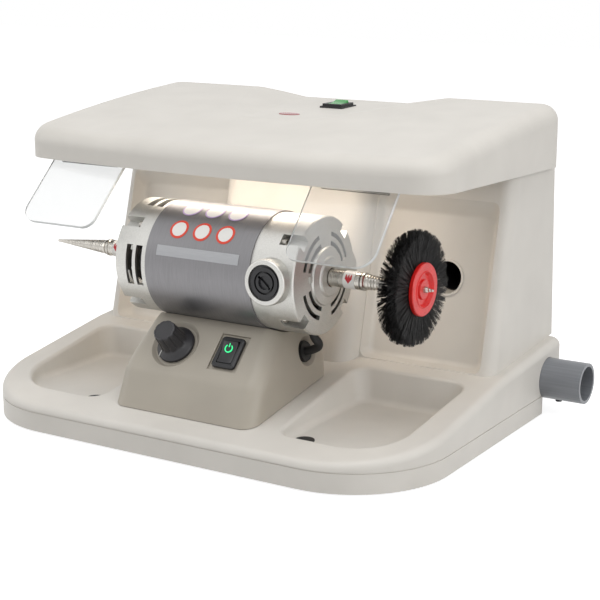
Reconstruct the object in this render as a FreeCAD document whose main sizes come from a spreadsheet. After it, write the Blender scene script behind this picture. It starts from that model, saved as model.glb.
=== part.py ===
import FreeCAD, Part
import math
import os

import Sketcher
from FreeCAD import Vector, Rotation, Placement

# Dental polishing lathe. Millimetres, +Z up, +X to the operator's right, +Y to the back.
# The origin lies on the bench, midway between the sides, under the middle of the base plate.

doc = FreeCAD.newDocument("PolishingLathe")
sheet = doc.addObject("Spreadsheet::Sheet", "Sizes")

# Driving dimensions: alias, value, meaning
DIMENSIONS = [
    ("base_width", 600, "base, side to side"),
    ("base_front", 214, "front edge of the base ahead of the origin"),
    ("rim_rear", 225, "rear edge of the base rim behind the origin"),
    ("front_corner", 120, "plan radius of the front corners"),
    ("rear_corner", 14, "plan radius of the rear corners"),
    ("shell_wall", 4, "wall of the mouldings"),
    ("foot_height", 3.5, "bench to the underside of the base plate"),
    ("foot_diameter", 28, "rubber foot"),
    ("shell_lift", 2.5, "bench to the lower rim of the base"),
    ("base_front_height", 34, "top of the base at its front edge"),
    ("base_mid_height", 74, "top of the base where the housing starts"),
    ("base_rear_height", 88, "top of the base at the rear rim"),
    ("base_rounding", 9, "rounding of the base's upper edge"),
    ("crease_height", 25, "parting groove round the base"),
    ("crease_depth", 0.9, "depth of the parting groove"),
    ("bay_front", 146, "front of the pipe bay under the rear rim"),
    ("bay_ceiling", 78, "ceiling of the pipe bay"),
    ("side_rear", 165, "rear edge of the side wall below the pipe"),
    ("rear_lip", 58, "lower edge of the rear rim"),
    ("tray_inner", 118, "inner edge of a tray's opening from the middle"),
    ("tray_outer", 268, "outer edge of a tray's opening from the middle"),
    ("tray_front", 169, "front edge of the trays ahead of the origin"),
    ("tray_rear", 28, "rear edge of the trays behind the origin"),
    ("tray_floor", 30, "tray floor above the bench"),
    ("tray_draft", 10, "how far the tray walls lean in"),
    ("tray_corner", 62, "front outer corner radius of a tray"),
    ("tray_small_corner", 22, "other corner radii of a tray"),
    ("tray_floor_round", 8, "fillet at the tray floor"),
    ("tray_lip_round", 5, "rounding of the tray's upper edge"),
    ("drain_diameter", 18, "hole in the tray floor"),
    ("drain_side", 148, "tray hole from the middle"),
    ("drain_front", 143, "tray hole ahead of the origin"),
    ("plug_flange", 22, "flange of the rubber plug in the tray hole"),
    ("plug_head", 1.2, "flange of the tray plug above the floor"),
    ("plate_thickness", 2, "steel base plate"),
    ("plate_gap", 0.5, "base plate to the shell wall"),
    ("boss_diameter", 14, "screw bosses of the base"),
    ("screw_diameter", 4, "self-tapping screws"),
    ("screw_head", 8, "screw head diameter"),
    ("screw_head_height", 2.4, "screw head height"),
    ("housing_width", 568, "housing at its foot, side to side"),
    ("housing_top_width", 558, "housing at its top, side to side"),
    ("housing_front", 49, "front of the housing at its foot"),
    ("housing_lean", 13, "lean of the housing front, degrees"),
    ("housing_rear", 226, "rear of the housing's top"),
    ("housing_top_front", 303, "top of the housing at its front"),
    ("housing_top_rear", 299, "top of the housing at its rear"),
    ("housing_corner", 16, "rounding of the housing's front upright edges"),
    ("column_width", 212, "middle column of the housing"),
    ("column_proud", 25, "column ahead of the housing front"),
    ("column_corner", 24, "rounding of the column's upright edges"),
    ("panel_depth", 21, "depth of the recessed panels"),
    ("panel_outer", 258, "outer edge of a recessed panel from the middle"),
    ("panel_inner", 110, "inner edge of a recessed panel from the middle"),
    ("panel_foot", 80, "lower edge of the recessed panels"),
    ("panel_head", 254, "upper edge of the recessed panels"),
    ("panel_splay", 10, "how far the panel's sides splay out"),
    ("panel_head_splay", 22, "how far the panel's top splays out"),
    ("panel_round", 10, "rounding inside the recessed panels"),
    ("port_side", 202, "suction port from the middle"),
    ("port_height", 176, "suction port above the bench"),
    ("port_rim", 43, "pale rim of the suction port"),
    ("port_bore", 38, "hole of the suction port"),
    ("duct_diameter", 40, "suction duct outside"),
    ("duct_wall", 2, "suction duct wall"),
    ("duct_bend", 42, "bend radius of the suction duct"),
    ("pipe_diameter", 50, "exhaust pipe outside"),
    ("pipe_wall", 4, "exhaust pipe wall"),
    ("pipe_rear", 178, "exhaust pipe axis behind the origin"),
    ("pipe_height", 45.4, "exhaust pipe axis above the bench"),
    ("pipe_end", 351, "open end of the exhaust pipe from the middle"),
    ("pipe_screw_side", 316, "screw under the exhaust pipe from the middle"),
    ("pipe_gap", 0.5, "exhaust pipe to the notch in the side wall"),
    ("tee_diameter", 58, "tee sockets outside"),
    ("tee_length", 84, "tee, end to end"),
    ("socket_depth", 21, "how far a pipe enters a tee"),
    ("socket_gap", 0.05, "pipe to its socket"),
    ("back_panel_wall", 2, "rear service panel"),
    ("hood_width", 578, "hood, side to side"),
    ("hood_front_width", 574, "hood at its front corners, side to side"),
    ("hood_bow", 19, "how far the hood's front bows out"),
    ("hood_rear_corner", 24, "plan radius of the hood's rear corners"),
    ("hood_front", 118, "front edge of the hood ahead of the origin, at the middle"),
    ("hood_rear", 226, "rear edge of the hood"),
    ("hood_corner", 43, "plan radius of the hood's front corners"),
    ("hood_edge_front", 309, "lower edge of the hood at its front"),
    ("hood_edge_rear", 300, "lower edge of the hood at its rear"),
    ("hood_front_height", 341, "crown of the hood carried on to its front edge"),
    ("hood_mid_height", 366, "top of the hood above the housing front"),
    ("hood_rear_height", 377, "top of the hood at its rear"),
    ("hood_rounding", 20, "rounding of the hood's upper edge"),
    ("dip_half_width", 77, "half width of the dip's floor at the rear"),
    ("dip_half_open", 149, "half width of the dip's mouth at the rear"),
    ("dip_depth", 12.5, "depth of the dip at the rear"),
    ("dip_length", 205, "dip, rear edge to its fade-out"),
    ("pedestal_width", 196, "pedestal at its foot, side to side"),
    ("pedestal_top_width", 168, "pedestal at its top, side to side"),
    ("waist_width", 191, "pedestal at the bend of its sides, side to side"),
    ("waist_height", 88, "bend of the pedestal's sides above the bench"),
    ("waist_round", 40, "rounding of that bend"),
    ("face_round", 26, "rounding above and below the control face"),
    ("seam_height", 0.8, "shadow gap between pedestal and base"),
    ("seam_depth", 1.6, "depth of that gap"),
    ("pedestal_front", 176, "front of the pedestal's foot"),
    ("pedestal_rear", 3, "rear of the pedestal's foot ahead of the origin"),
    ("pedestal_top", 141, "top of the pedestal beside the motor"),
    ("pedestal_corner", 18, "rounding of the pedestal's edges"),
    ("face_low_front", 158, "lower edge of the control face ahead of the origin"),
    ("face_low_height", 84, "lower edge of the control face"),
    ("face_angle", 45, "control face from upright, degrees"),
    ("knob_side", -36, "speed knob from the middle"),
    ("switch_side", 39, "power switch from the middle"),
    ("control_rise", 38.5, "controls above the face's lower edge, along the face"),
    ("dish_diameter", 61, "dish round the speed knob"),
    ("dish_depth", 4, "depth of the dish"),
    ("knob_skirt", 47, "speed knob's skirt"),
    ("knob_grip", 27, "speed knob's grip"),
    ("knob_height", 34, "speed knob, skirt to tip"),
    ("knob_gap", 0.6, "knob above the dish floor"),
    ("pot_shaft", 6, "shaft of the potentiometer"),
    ("pot_body", 24, "body of the potentiometer"),
    ("switch_width", 31, "power switch bezel across"),
    ("switch_length", 40, "power switch bezel along the face"),
    ("bezel_height", 2.5, "switch bezel above its seat"),
    ("rocker_width", 20, "rocker across"),
    ("rocker_length", 28, "rocker along"),
    ("rocker_tilt", 8, "rocker from level, degrees"),
    ("switch_depth", 22, "switch body behind the face"),
    ("motor_front", 70, "motor axis ahead of the origin"),
    ("motor_height", 200, "motor axis above the bench"),
    ("sleeve_diameter", 138, "motor sleeve"),
    ("sleeve_length", 144, "motor sleeve, end to end"),
    ("fan_diameter", 100, "cooling fan"),
    ("winding_length", 14, "windings beyond the armature stack"),
    ("saddle_bolt", 6, "bolts between saddle and motor"),
    ("saddle_pitch", 56, "distance between the saddle bolts"),
    ("saddle_plate", 3, "saddle plate"),
    ("label_thickness", 0.3, "labels on the sleeve"),
    ("plate_length", 113, "blank rating plate"),
    ("plate_angle", 71.5, "rating plate from the top towards the front, degrees"),
    ("disc_diameter", 24, "blank label discs"),
    ("disc_pitch", 32, "distance between label discs"),
    ("lower_disc_angle", 48.3, "lower label discs from the top, degrees"),
    ("upper_disc_angle", 21, "upper label discs from the top, degrees"),
    ("sleeve_wall", 3, "motor sleeve wall"),
    ("bell_diameter", 135, "end bells"),
    ("bell_length", 45, "left end bell outside the sleeve"),
    ("right_bell_length", 57, "right end bell outside the sleeve"),
    ("bell_wall", 4, "end bell wall"),
    ("bell_hub", 52, "raised hub of the end bells"),
    ("bell_hub_length", 17, "left hub beyond the bell's rim"),
    ("right_hub_length", 9.6, "right hub beyond the bell's rim"),
    ("pocket_length", 27, "bolt pockets, from the end face"),
    ("pocket_width", 14, "bolt pockets across"),
    ("pocket_floor", 56, "floor of the bolt pockets from the motor axis"),
    ("slot_width", 9, "cooling slots in the rim of the left bell"),
    ("vent_width", 5, "curved vents in the end faces"),
    ("spigot_length", 6, "end bell spigot inside the sleeve"),
    ("bolt_circle", 61, "through bolts from the motor axis"),
    ("bolt_diameter", 5, "through bolts"),
    ("cradle_gap", 0.4, "motor sleeve to the pedestal's cradle"),
    ("shaft_diameter", 12, "motor shaft at its ends"),
    ("shaft_core", 17, "motor shaft inside the armature"),
    ("shaft_end", 166, "end of the motor shaft from the middle"),
    ("bearing_diameter", 32, "ball bearings outside"),
    ("bearing_width", 10, "ball bearings"),
    ("running_gap", 0.05, "running clearance of turning parts"),
    ("seat_gap", 0.02, "clearance of pressed seats"),
    ("magnet_thickness", 14, "field magnets"),
    ("magnet_span", 76, "field magnets round the motor, degrees"),
    ("magnet_length", 84, "field magnets along the motor"),
    ("air_gap", 1.2, "magnets to the armature"),
    ("armature_length", 80, "armature stack"),
    ("commutator_diameter", 36, "commutator"),
    ("commutator_length", 24, "commutator along the shaft"),
    ("cap_side", 100, "brush cap from the middle of the motor"),
    ("cap_boss", 52, "boss round the brush cap"),
    ("cap_reach", 81, "face of the cap boss from the motor axis"),
    ("cap_diameter", 40, "brush cap"),
    ("brush_turn", 3, "carbon brushes above level, degrees"),
    ("cap_depth", 8, "seat of the brush cap in its boss"),
    ("carbon_width", 8, "carbon brush"),
    ("holder_wall", 1.5, "brush holder wall"),
    ("tube_diameter", 20, "shaft sleeve on each side"),
    ("tube_length", 40, "shaft sleeve from the bell to the spindle's collar"),
    ("band_start", 19.5, "direction band from the bell's nose"),
    ("band_length", 14.5, "direction band"),
    ("band_thickness", 0.25, "direction band"),
    ("collar_length", 7, "collar at the spindle's root"),
    ("spindle_end", 7, "right spindle at the outer face of the brush hub"),
    ("hub_face", 257, "outer end of the brush hub from the middle"),
    ("spindle_root", 18, "spindle at its root"),
    ("left_tip", 261, "tip of the left spindle from the middle"),
    ("right_tip", 266, "tip of the right spindle from the middle"),
    ("brush_middle", 241, "polishing brush from the middle"),
    ("brush_diameter", 130, "polishing brush over its bristles"),
    ("brush_rim", 30, "bristles across at the rim"),
    ("brush_root", 21, "bristles across between the hub discs"),
    ("brush_core", 24, "hub core that the bristles stand on"),
    ("hub_diameter", 59, "brush hub disc"),
    ("hub_disc", 4.5, "brush hub disc thickness"),
    ("shield_width", 108, "clear shield across"),
    ("shield_length", 110, "clear shield, pin to lower edge"),
    ("shield_sheet", 4, "clear shield thickness"),
    ("shield_side", 188, "middle of the left shield from the middle"),
    ("right_shield_side", 179, "middle of the right shield from the middle"),
    ("shield_corner", 22, "lower outer corner of a shield"),
    ("shield_inner_corner", 14, "lower inner corner of a shield"),
    ("right_shield_tilt", 40, "right shield forward of upright, degrees"),
    ("left_shield_tilt", 46.5, "left shield forward of upright, degrees"),
    ("hinge_front", 80, "shield pins ahead of the origin"),
    ("hinge_height", 318, "shield pins above the bench"),
    ("pin_diameter", 5, "shield hinge pin"),
    ("lamp_length", 300, "lamp tube"),
    ("lamp_diameter", 16, "lamp tube diameter"),
    ("lamp_front", 20, "lamp tube ahead of the origin"),
    ("lamp_height", 330, "lamp tube above the bench"),
    ("light_side", 14, "light switch from the middle"),
    ("light_rear", 154, "light switch behind the origin"),
    ("light_seat", 361.5, "flat seat of the light switch on the hood"),
    ("light_width", 32, "light switch flange across"),
    ("light_length", 36, "light switch flange front to back"),
    ("light_step", 3, "each of the two steps of the light switch"),
    ("badge_rear", 69, "blank badge behind the origin"),
    ("badge_seat", 359.6, "flat seat of the blank badge"),
    ("knob_rest", 145, "pointer of the speed knob at its slow end, degrees"),
    ("foot_stem", 8, "stem of the rubber feet"),
    ("lead_diameter", 10, "motor lead"),
    ("grommet_hole", 24, "hole for the lead's grommet"),
    ("grommet_front", 48, "lead grommet ahead of the origin"),
    ("grommet_height", 102, "lead grommet above the bench"),
]

sheet.set("A1", "Size")
sheet.set("B1", "Millimetres or degrees")
for row, (alias, value, meaning) in enumerate(DIMENSIONS, start=2):
    sheet.set("A%d" % row, meaning)
    sheet.set("B%d" % row, str(value))
    sheet.setAlias("B%d" % row, alias)
doc.recompute()


class Size:
    """A value of the sheet, or a sum worked out from such values, with the expression that gives it."""

    def __init__(self, value, text):
        self.value = float(value)
        self.text = text

    def __float__(self):
        return self.value

    def __add__(self, other):
        other = as_size(other)
        return Size(self.value + other.value, "(%s + %s)" % (self.text, other.text))

    def __radd__(self, other):
        return as_size(other) + self

    def __sub__(self, other):
        other = as_size(other)
        return Size(self.value - other.value, "(%s - %s)" % (self.text, other.text))

    def __rsub__(self, other):
        return as_size(other) - self

    def __mul__(self, other):
        other = as_size(other)
        return Size(self.value * other.value, "(%s * %s)" % (self.text, other.text))

    def __rmul__(self, other):
        return as_size(other) * self

    def __truediv__(self, other):
        other = as_size(other)
        return Size(self.value / other.value, "(%s / %s)" % (self.text, other.text))

    def __neg__(self):
        return Size(-self.value, "(-1 * %s)" % self.text)


def as_size(value):
    if isinstance(value, Size):
        return value
    return Size(value, repr(float(value)))


class Sheet:
    """Gives each alias of the sheet as a Size."""

    def __getattr__(self, alias):
        return Size(sheet.get(alias), "Sizes." + alias)


D = Sheet()


def number(alias):
    return float(sheet.get(alias))


parts = {}


def keep(obj, label):
    """Names a finished sub-part; its label is its file's name."""
    obj.Label = label
    parts[label] = obj
    return obj


def bind(obj, **values):
    """Binds properties to sizes; a double underscore stands for the dot in a property path."""
    for name, value in values.items():
        obj.setExpression(name.replace("__", "."), as_size(value).text)


def place(obj, x=0, y=0, z=0):
    bind(obj, Placement__Base__x=x, Placement__Base__y=y, Placement__Base__z=z)


def shaped(label, shape, placement=None):
    """A sub-part whose shape is computed from the sheet's values."""
    obj = doc.addObject("Part::Feature", label)
    obj.Shape = shape
    if placement is not None:
        obj.Placement = placement.multiply(shape.Placement)
    return keep(obj, label)


def plane_of(body, role):
    for feature in body.Origin.OriginFeatures:
        if feature.Role == role:
            return feature
    raise ValueError(role)


def outline_sketch(body, role, corners):
    """A closed outline of straight lines; each corner's two distances are bound to the sheet."""
    sketch = body.newObject("Sketcher::SketchObject", "Outline")
    sketch.AttachmentSupport = [(plane_of(body, role), "")]
    sketch.MapMode = "FlatFace"
    corners = [(as_size(u), as_size(v)) for u, v in corners]
    spots = [Vector(u.value, v.value, 0) for u, v in corners]
    count = len(spots)
    lines = [Part.LineSegment(spots[i], spots[(i + 1) % count]) for i in range(count)]
    sketch.addGeometry(lines, False)
    for i in range(count):
        sketch.addConstraint(Sketcher.Constraint("Coincident", i, 2, (i + 1) % count, 1))
    for i, (u, v) in enumerate(corners):
        for kind, axis, size in (("DistanceX", -2, u), ("DistanceY", -1, v)):
            if abs(size.value) < 1e-9:
                sketch.addConstraint(Sketcher.Constraint("PointOnObject", i, 1, axis))
            else:
                index = sketch.addConstraint(Sketcher.Constraint(kind, -1, 1, i, 1, size.value))
                sketch.setExpression("Constraints[%d]" % index, size.text)
    return sketch


def turned_body(label, corners, x=0, y=0, z=0):
    """A body turned about a line along X: corners are (place along X, radius)."""
    body = doc.addObject("PartDesign::Body", label)
    sketch = outline_sketch(body, "XY_Plane", corners)
    revolution = body.newObject("PartDesign::Revolution", "Turning")
    revolution.Profile = sketch
    revolution.ReferenceAxis = (sketch, ["H_Axis"])
    revolution.Angle = 360
    sketch.Visibility = False
    place(body, x, y, z)
    return body


def turned(label, corners, x=0, y=0, z=0):
    """A sub-part that is one turned body."""
    return keep(turned_body(label, corners, x, y, z), label)


def padded(label, role, corners, length, x=0, y=0, z=0):
    """A body pushed out from one of its own planes."""
    body = doc.addObject("PartDesign::Body", label)
    sketch = outline_sketch(body, role, corners)
    pad = body.newObject("PartDesign::Pad", "Length")
    pad.Profile = sketch
    bind(pad, Length=length)
    sketch.Visibility = False
    place(body, x, y, z)
    return keep(body, label)


def block(name, length, width, height, x, y, z):
    obj = doc.addObject("Part::Box", name)
    bind(obj, Length=length, Width=width, Height=height)
    place(obj, x, y, z)
    return obj


def rod(name, radius, height, x, y, z, axis="Z"):
    obj = doc.addObject("Part::Cylinder", name)
    bind(obj, Radius=radius, Height=height)
    turns = {"X": Rotation(Vector(0, 1, 0), 90), "Y": Rotation(Vector(1, 0, 0), -90), "Z": Rotation()}
    obj.Placement = Placement(Vector(0, 0, 0), turns[axis])
    place(obj, x, y, z)
    return obj


def cut(name, base, tool):
    obj = doc.addObject("Part::Cut", name)
    obj.Base = base
    obj.Tool = tool
    return obj


def joined(name, pieces):
    obj = doc.addObject("Part::MultiFuse", name)
    obj.Shapes = pieces
    return obj


def grouped(label, pieces):
    """Identical pieces that share one file, each a solid of its own."""
    obj = doc.addObject("Part::Compound", label)
    obj.Links = pieces
    return keep(obj, label)


# Shape helpers for the mouldings

def wire_of(spots):
    return Part.makePolygon(spots + [spots[0]])


def prism_x(profile, half):
    """A side profile of (y, z) points pushed across the width, both ways from the middle."""
    wire = wire_of([Vector(-half, y, z) for y, z in profile])
    return Part.Face(wire).extrude(Vector(2 * half, 0, 0))


def rounded_outline(spots, radii, height):
    """A closed wire through the corners, each rounded by its own radius."""
    count = len(spots)
    corners = [Vector(x, y, height) for x, y in spots]
    edges = []
    ends = []
    for i in range(count):
        corner = corners[i]
        if radii[i] == 0:
            ends.append((corner, corner, corner))
            continue
        to_last = (corners[i - 1] - corner).normalize()
        to_next = (corners[(i + 1) % count] - corner).normalize()
        half_angle = to_last.getAngle(to_next) / 2
        back = radii[i] / math.tan(half_angle)
        middle = corner + (to_last + to_next).normalize() * (radii[i] / math.sin(half_angle))
        near = middle + (corner - middle).normalize() * radii[i]
        ends.append((corner + to_last * back, near, corner + to_next * back))
    for i in range(count):
        start, near, stop = ends[i]
        if radii[i] > 0:
            edges.append(Part.Arc(start, near, stop).toShape())
        edges.append(Part.LineSegment(stop, ends[(i + 1) % count][0]).toShape())
    return Part.Wire(edges)


def plan(half, front, rear, front_radius, rear_radius, low, high):
    """An upright prism with rounded plan corners."""
    spots = [(-half, -front), (half, -front), (half, rear), (-half, rear)]
    radii = [front_radius, front_radius, rear_radius, rear_radius]
    wire = rounded_outline(spots, radii, low)
    return Part.Face(wire).extrude(Vector(0, 0, high - low))


def edges_where(shape, test):
    found = []
    for edge in shape.Edges:
        middle = edge.valueAt((edge.FirstParameter + edge.LastParameter) / 2)
        if test(edge, middle):
            found.append(edge)
    return found


def mirrored(shape):
    return shape.mirror(Vector(0, 0, 0), Vector(1, 0, 0))


def cylinder(radius, height, spot, direction):
    return Part.makeCylinder(radius, height, spot, direction)


# Heights of the base's top and of the hood's edge at a place along Y

base_front = number("base_front")
rim_rear = number("rim_rear")
housing_front = number("housing_front")
wall = number("shell_wall")


def base_top(y):
    low = number("base_front_height")
    mid = number("base_mid_height")
    high = number("base_rear_height")
    if y < housing_front:
        return low + (mid - low) * (y + base_front) / (housing_front + base_front)
    return mid + (high - mid) * (y - housing_front) / (rim_rear - housing_front)


def hood_edge(y):
    front = number("hood_edge_front")
    rear = number("hood_edge_rear")
    reach = number("hood_front") + number("hood_rear")
    return front + (rear - front) * (y + number("hood_front")) / reach


lean = math.radians(number("housing_lean"))
lean_step = math.tan(lean)


def front_at(z, offset=0.0):
    """Place along Y of the leaning housing front at height z, pushed back by an offset."""
    return housing_front + offset + (z - number("base_mid_height")) * lean_step


# Motor frame

motor_y = -number("motor_front")
motor_z = number("motor_height")
sleeve_radius = number("sleeve_diameter") / 2


def tray_tool(grow):
    """The space of the right tray, grown by a wall when the shell's underside needs it."""
    draft = number("tray_draft")
    floor = number("tray_floor") - grow
    top = number("base_mid_height") + 6
    inner = number("tray_inner") - grow
    outer = number("tray_outer") + grow
    front = -number("tray_front") - grow
    rear = number("tray_rear") + grow
    big = number("tray_corner") + grow
    small = number("tray_small_corner") + grow

    def outline(shrink, height):
        spots = [
            (inner + shrink, front + shrink / 2),
            (outer - shrink, front + shrink / 2),
            (outer - shrink, rear - shrink),
            (inner + shrink, rear - shrink),
        ]
        radii = [small, big, small, small]
        radii = [radius - shrink / 2 for radius in radii]
        return rounded_outline(spots, radii, height)

    tool = Part.makeLoft([outline(draft, floor), outline(0, top)], True, True)
    round_size = number("tray_floor_round") + grow

    def at_floor(edge, middle):
        return abs(middle.z - floor) < 0.01 and edge.BoundBox.ZLength < 0.01

    return tool.makeFillet(round_size, edges_where(tool, at_floor))


def boss_places():
    side = number("base_width") / 2 - wall - number("boss_diameter") / 2 - 10
    places = []
    for sign in (-1, 1):
        places.append((sign * side, number("bay_front") - 24))
        places.append((sign * side, number("tray_rear") + 24))
        places.append((sign * (number("tray_inner") - 14), -number("tray_front") - 12))
    return places


def foot_places():
    side = number("base_width") / 2 - number("front_corner") / 2
    return [
        (-side, -base_front + number("front_corner") / 2 - 4),
        (side, -base_front + number("front_corner") / 2 - 4),
        (side, number("bay_front") - 30),
        (-side, number("bay_front") - 30),
    ]


def make_base_shell():
    half = number("base_width") / 2
    lift = number("shell_lift")
    bay_front = number("bay_front")
    pipe_y = number("pipe_rear")
    pipe_z = number("pipe_height")
    notch = number("pipe_diameter") / 2 + number("pipe_gap")
    side_rear = number("side_rear")
    lip = number("rear_lip")
    front_corner = number("front_corner")
    rear_corner = number("rear_corner")

    outer = plan(half, base_front, rim_rear, front_corner, rear_corner, lift, 130)
    profile = [
        (-base_front - 5, 0),
        (rim_rear + 5, 0),
        (rim_rear + 5, base_top(rim_rear + 5)),
        (housing_front, base_top(housing_front)),
        (-base_front - 5, base_top(-base_front - 5)),
    ]
    outer = outer.common(prism_x(profile, half + 5))

    def at_top_rim(edge, middle):
        inside = abs(middle.x) < half - front_corner * 0.4 and -base_front + 0.5 < middle.y < rim_rear - 0.5
        return middle.z > number("base_front_height") - 2 and edge.BoundBox.DiagonalLength > 3 and not inside \
            and abs(middle.z - base_top(middle.y)) < 0.05

    outer = outer.makeFillet(number("base_rounding"), edges_where(outer, at_top_rim))

    # Parting groove round the base
    groove_low = number("crease_height")
    ring = plan(half + 5, base_front + 5, rim_rear + 5, front_corner, rear_corner, groove_low, groove_low + 1.2)
    depth = number("crease_depth")
    core = plan(half - depth, base_front - depth, rim_rear - depth, front_corner - depth,
                rear_corner - depth, groove_low - 1, groove_low + 3)
    outer = outer.cut(ring.cut(core))

    # The space behind the lower rear wall, with the notch that the pipe leaves through
    rear_space = Part.makeBox(2 * half + 10, 200, lip, Vector(-half - 5, side_rear, 0))
    outer = outer.cut(rear_space)
    outer = outer.cut(cylinder(notch, 2 * half + 10, Vector(-half - 5, pipe_y, pipe_z), Vector(1, 0, 0)))
    bay = Part.makeBox(2 * (half - wall), rim_rear - wall - bay_front, number("bay_ceiling"),
                       Vector(-half + wall, bay_front, 0))
    outer = outer.cut(bay)

    # Trays
    tray = tray_tool(0.0)
    outer = outer.cut(tray).cut(mirrored(tray))
    tray_floor = number("tray_floor")

    def at_tray_lip(edge, middle):
        side = abs(middle.x)
        near = number("tray_inner") - 3 < side < number("tray_outer") + 3
        deep = -number("tray_front") - 3 < middle.y < number("tray_rear") + 3
        return near and deep and middle.z > tray_floor + 5 and abs(middle.z - base_top(middle.y)) < 0.05

    outer = outer.makeFillet(number("tray_lip_round"), edges_where(outer, at_tray_lip))

    # Hollow underside
    inner = plan(half - wall, base_front - wall, bay_front - wall, front_corner - wall, 3.0, -1, 130)
    inner_profile = [
        (-base_front - 5, -2),
        (bay_front, -2),
        (bay_front, base_top(bay_front) - wall),
        (housing_front, base_top(housing_front) - wall),
        (-base_front - 5, base_top(-base_front - 5) - wall),
    ]
    inner = inner.common(prism_x(inner_profile, half + 5))
    under_tray = tray_tool(wall)
    inner = inner.cut(under_tray).cut(mirrored(under_tray))
    plate_top = number("foot_height") + number("plate_thickness")
    for x, y in boss_places():
        inner = inner.cut(cylinder(number("boss_diameter") / 2, 130, Vector(x, y, plate_top), Vector(0, 0, 1)))
    outer = outer.cut(inner)

    # Screw holes, tray holes, opening under the pedestal, holes for the suction ducts
    for x, y in boss_places():
        outer = outer.cut(cylinder(number("screw_diameter") / 2, 20, Vector(x, y, 0), Vector(0, 0, 1)))
    drain = number("drain_diameter") / 2
    for sign in (-1, 1):
        spot = Vector(sign * number("drain_side"), -number("drain_front"), 0)
        outer = outer.cut(cylinder(drain, 60, spot, Vector(0, 0, 1)))
        spot = Vector(sign * number("port_side"), pipe_y, lip)
        outer = outer.cut(cylinder(number("duct_diameter") / 2 + 1, 60, spot, Vector(0, 0, 1)))
    window = number("pedestal_width") - 60
    outer = outer.cut(Part.makeBox(window, 90, 90, Vector(-window / 2, -140, 20)))
    return shaped("base_shell", outer)



def leaning_tool(outer_box, inner_box, depth, corner, foot):
    """A splayed recess square to the leaning front: two rectangles joined, wider at the mouth."""
    def outline(box, y, radius):
        low_x, high_x, low_z, high_z = box
        spots = [(low_x, low_z), (high_x, low_z), (high_x, high_z), (low_x, high_z)]
        flat = rounded_outline(spots, [radius] * 4, 0)
        flat.rotate(Vector(0, 0, 0), Vector(1, 0, 0), 90)
        flat.translate(Vector(0, y, 0))
        return flat

    tool = Part.makeLoft([outline(outer_box, 0, corner), outline(inner_box, depth, corner)], True, True)
    tool.rotate(Vector(0, 0, foot), Vector(1, 0, 0), -number("housing_lean"))
    tool.translate(Vector(0, front_at(foot), 0))
    return tool


def housing_top(y):
    front = number("housing_top_front")
    rear = number("housing_top_rear")
    return front + (rear - front) * (y - housing_front) / (number("housing_rear") - housing_front)


def housing_block(shrink):
    """The housing's outer form, or its hollow when shrunk by the wall."""
    foot_half = number("housing_width") / 2 - shrink
    top_half = number("housing_top_width") / 2 - shrink
    foot_z = number("base_mid_height")
    top_z = number("housing_top_front")
    rear = number("housing_rear")
    cheek = prism_x([
        (front_at(40, shrink), 40),
        (rear - shrink, 40),
        (rear - shrink, housing_top(rear) - shrink),
        (front_at(320, shrink), housing_top(front_at(320, shrink)) - shrink),
    ], foot_half + 20)
    sides = Part.Face(wire_of([
        Vector(-foot_half - (foot_half - top_half) * (foot_z - 40) / (top_z - foot_z), 0, 40),
        Vector(foot_half + (foot_half - top_half) * (foot_z - 40) / (top_z - foot_z), 0, 40),
        Vector(top_half, 0, top_z + 5),
        Vector(-top_half, 0, top_z + 5),
    ])).extrude(Vector(0, 300, 0))
    cheek = cheek.common(sides)

    def at_front_corner(edge, middle):
        upright = edge.BoundBox.ZLength > 100
        return upright and middle.y < rear - 30 and abs(middle.x) > top_half - 5

    cheek = cheek.makeFillet(number("housing_corner") - shrink, edges_where(cheek, at_front_corner))

    # Middle column, swept up along the lean
    half = number("column_width") / 2 - shrink
    proud = -number("column_proud") + shrink
    radius = number("column_corner") - shrink
    spots = [(-half, proud), (half, proud), (half, 80), (-half, 80)]
    outline = rounded_outline(spots, [radius, radius, 3, 3], 40)
    outline.translate(Vector(0, front_at(40), 0))
    column = Part.Face(outline).extrude(Vector(0, 300 * lean_step, 300))
    lid = prism_x([
        (-100, 0),
        (rear - shrink, 0),
        (rear - shrink, housing_top(rear) - shrink),
        (-100, housing_top(-100) - shrink),
    ], foot_half)
    return cheek.fuse(column.common(lid))


def panel_tool(shrink):
    """The right recessed panel's space; grown by the wall it gives the hollow's limit."""
    foot = number("panel_foot") - shrink
    head = number("panel_head") + shrink
    inner = number("panel_inner") - shrink
    outer = number("panel_outer") + shrink
    splay = number("panel_splay")
    rise = 1 / math.cos(lean)
    inner_box = (inner, outer, foot, foot + (head - foot) * rise)
    mouth = (
        inner - splay / 3,
        outer + splay,
        foot - splay / 2,
        foot + (head - foot) * rise + number("panel_head_splay"),
    )
    depth = number("panel_depth") * math.cos(lean) + shrink
    tool = leaning_tool(mouth, inner_box, depth, number("panel_round") + shrink, foot)
    deep_edges = []
    for edge in tool.Edges:
        middle = edge.valueAt((edge.FirstParameter + edge.LastParameter) / 2)
        behind = (middle.y - front_at(middle.z)) * math.cos(lean)
        if edge.Length > 8 and abs(behind - depth) < 0.6:
            deep_edges.append(edge)
    return tool.makeFillet(number("panel_round") * 0.7 + shrink, deep_edges)


def port_axis_y():
    """Place along Y of the recessed panel at the height of the suction port."""
    return front_at(number("port_height"), number("panel_depth"))


def base_cover(above):
    """Everything below the base's top surface, raised by an amount."""
    far = 400
    return prism_x([
        (-far, -50),
        (far, -50),
        (far, base_top(far) + above),
        (housing_front, base_top(housing_front) + above),
        (-far, base_top(-far) + above),
    ], 400)


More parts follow.
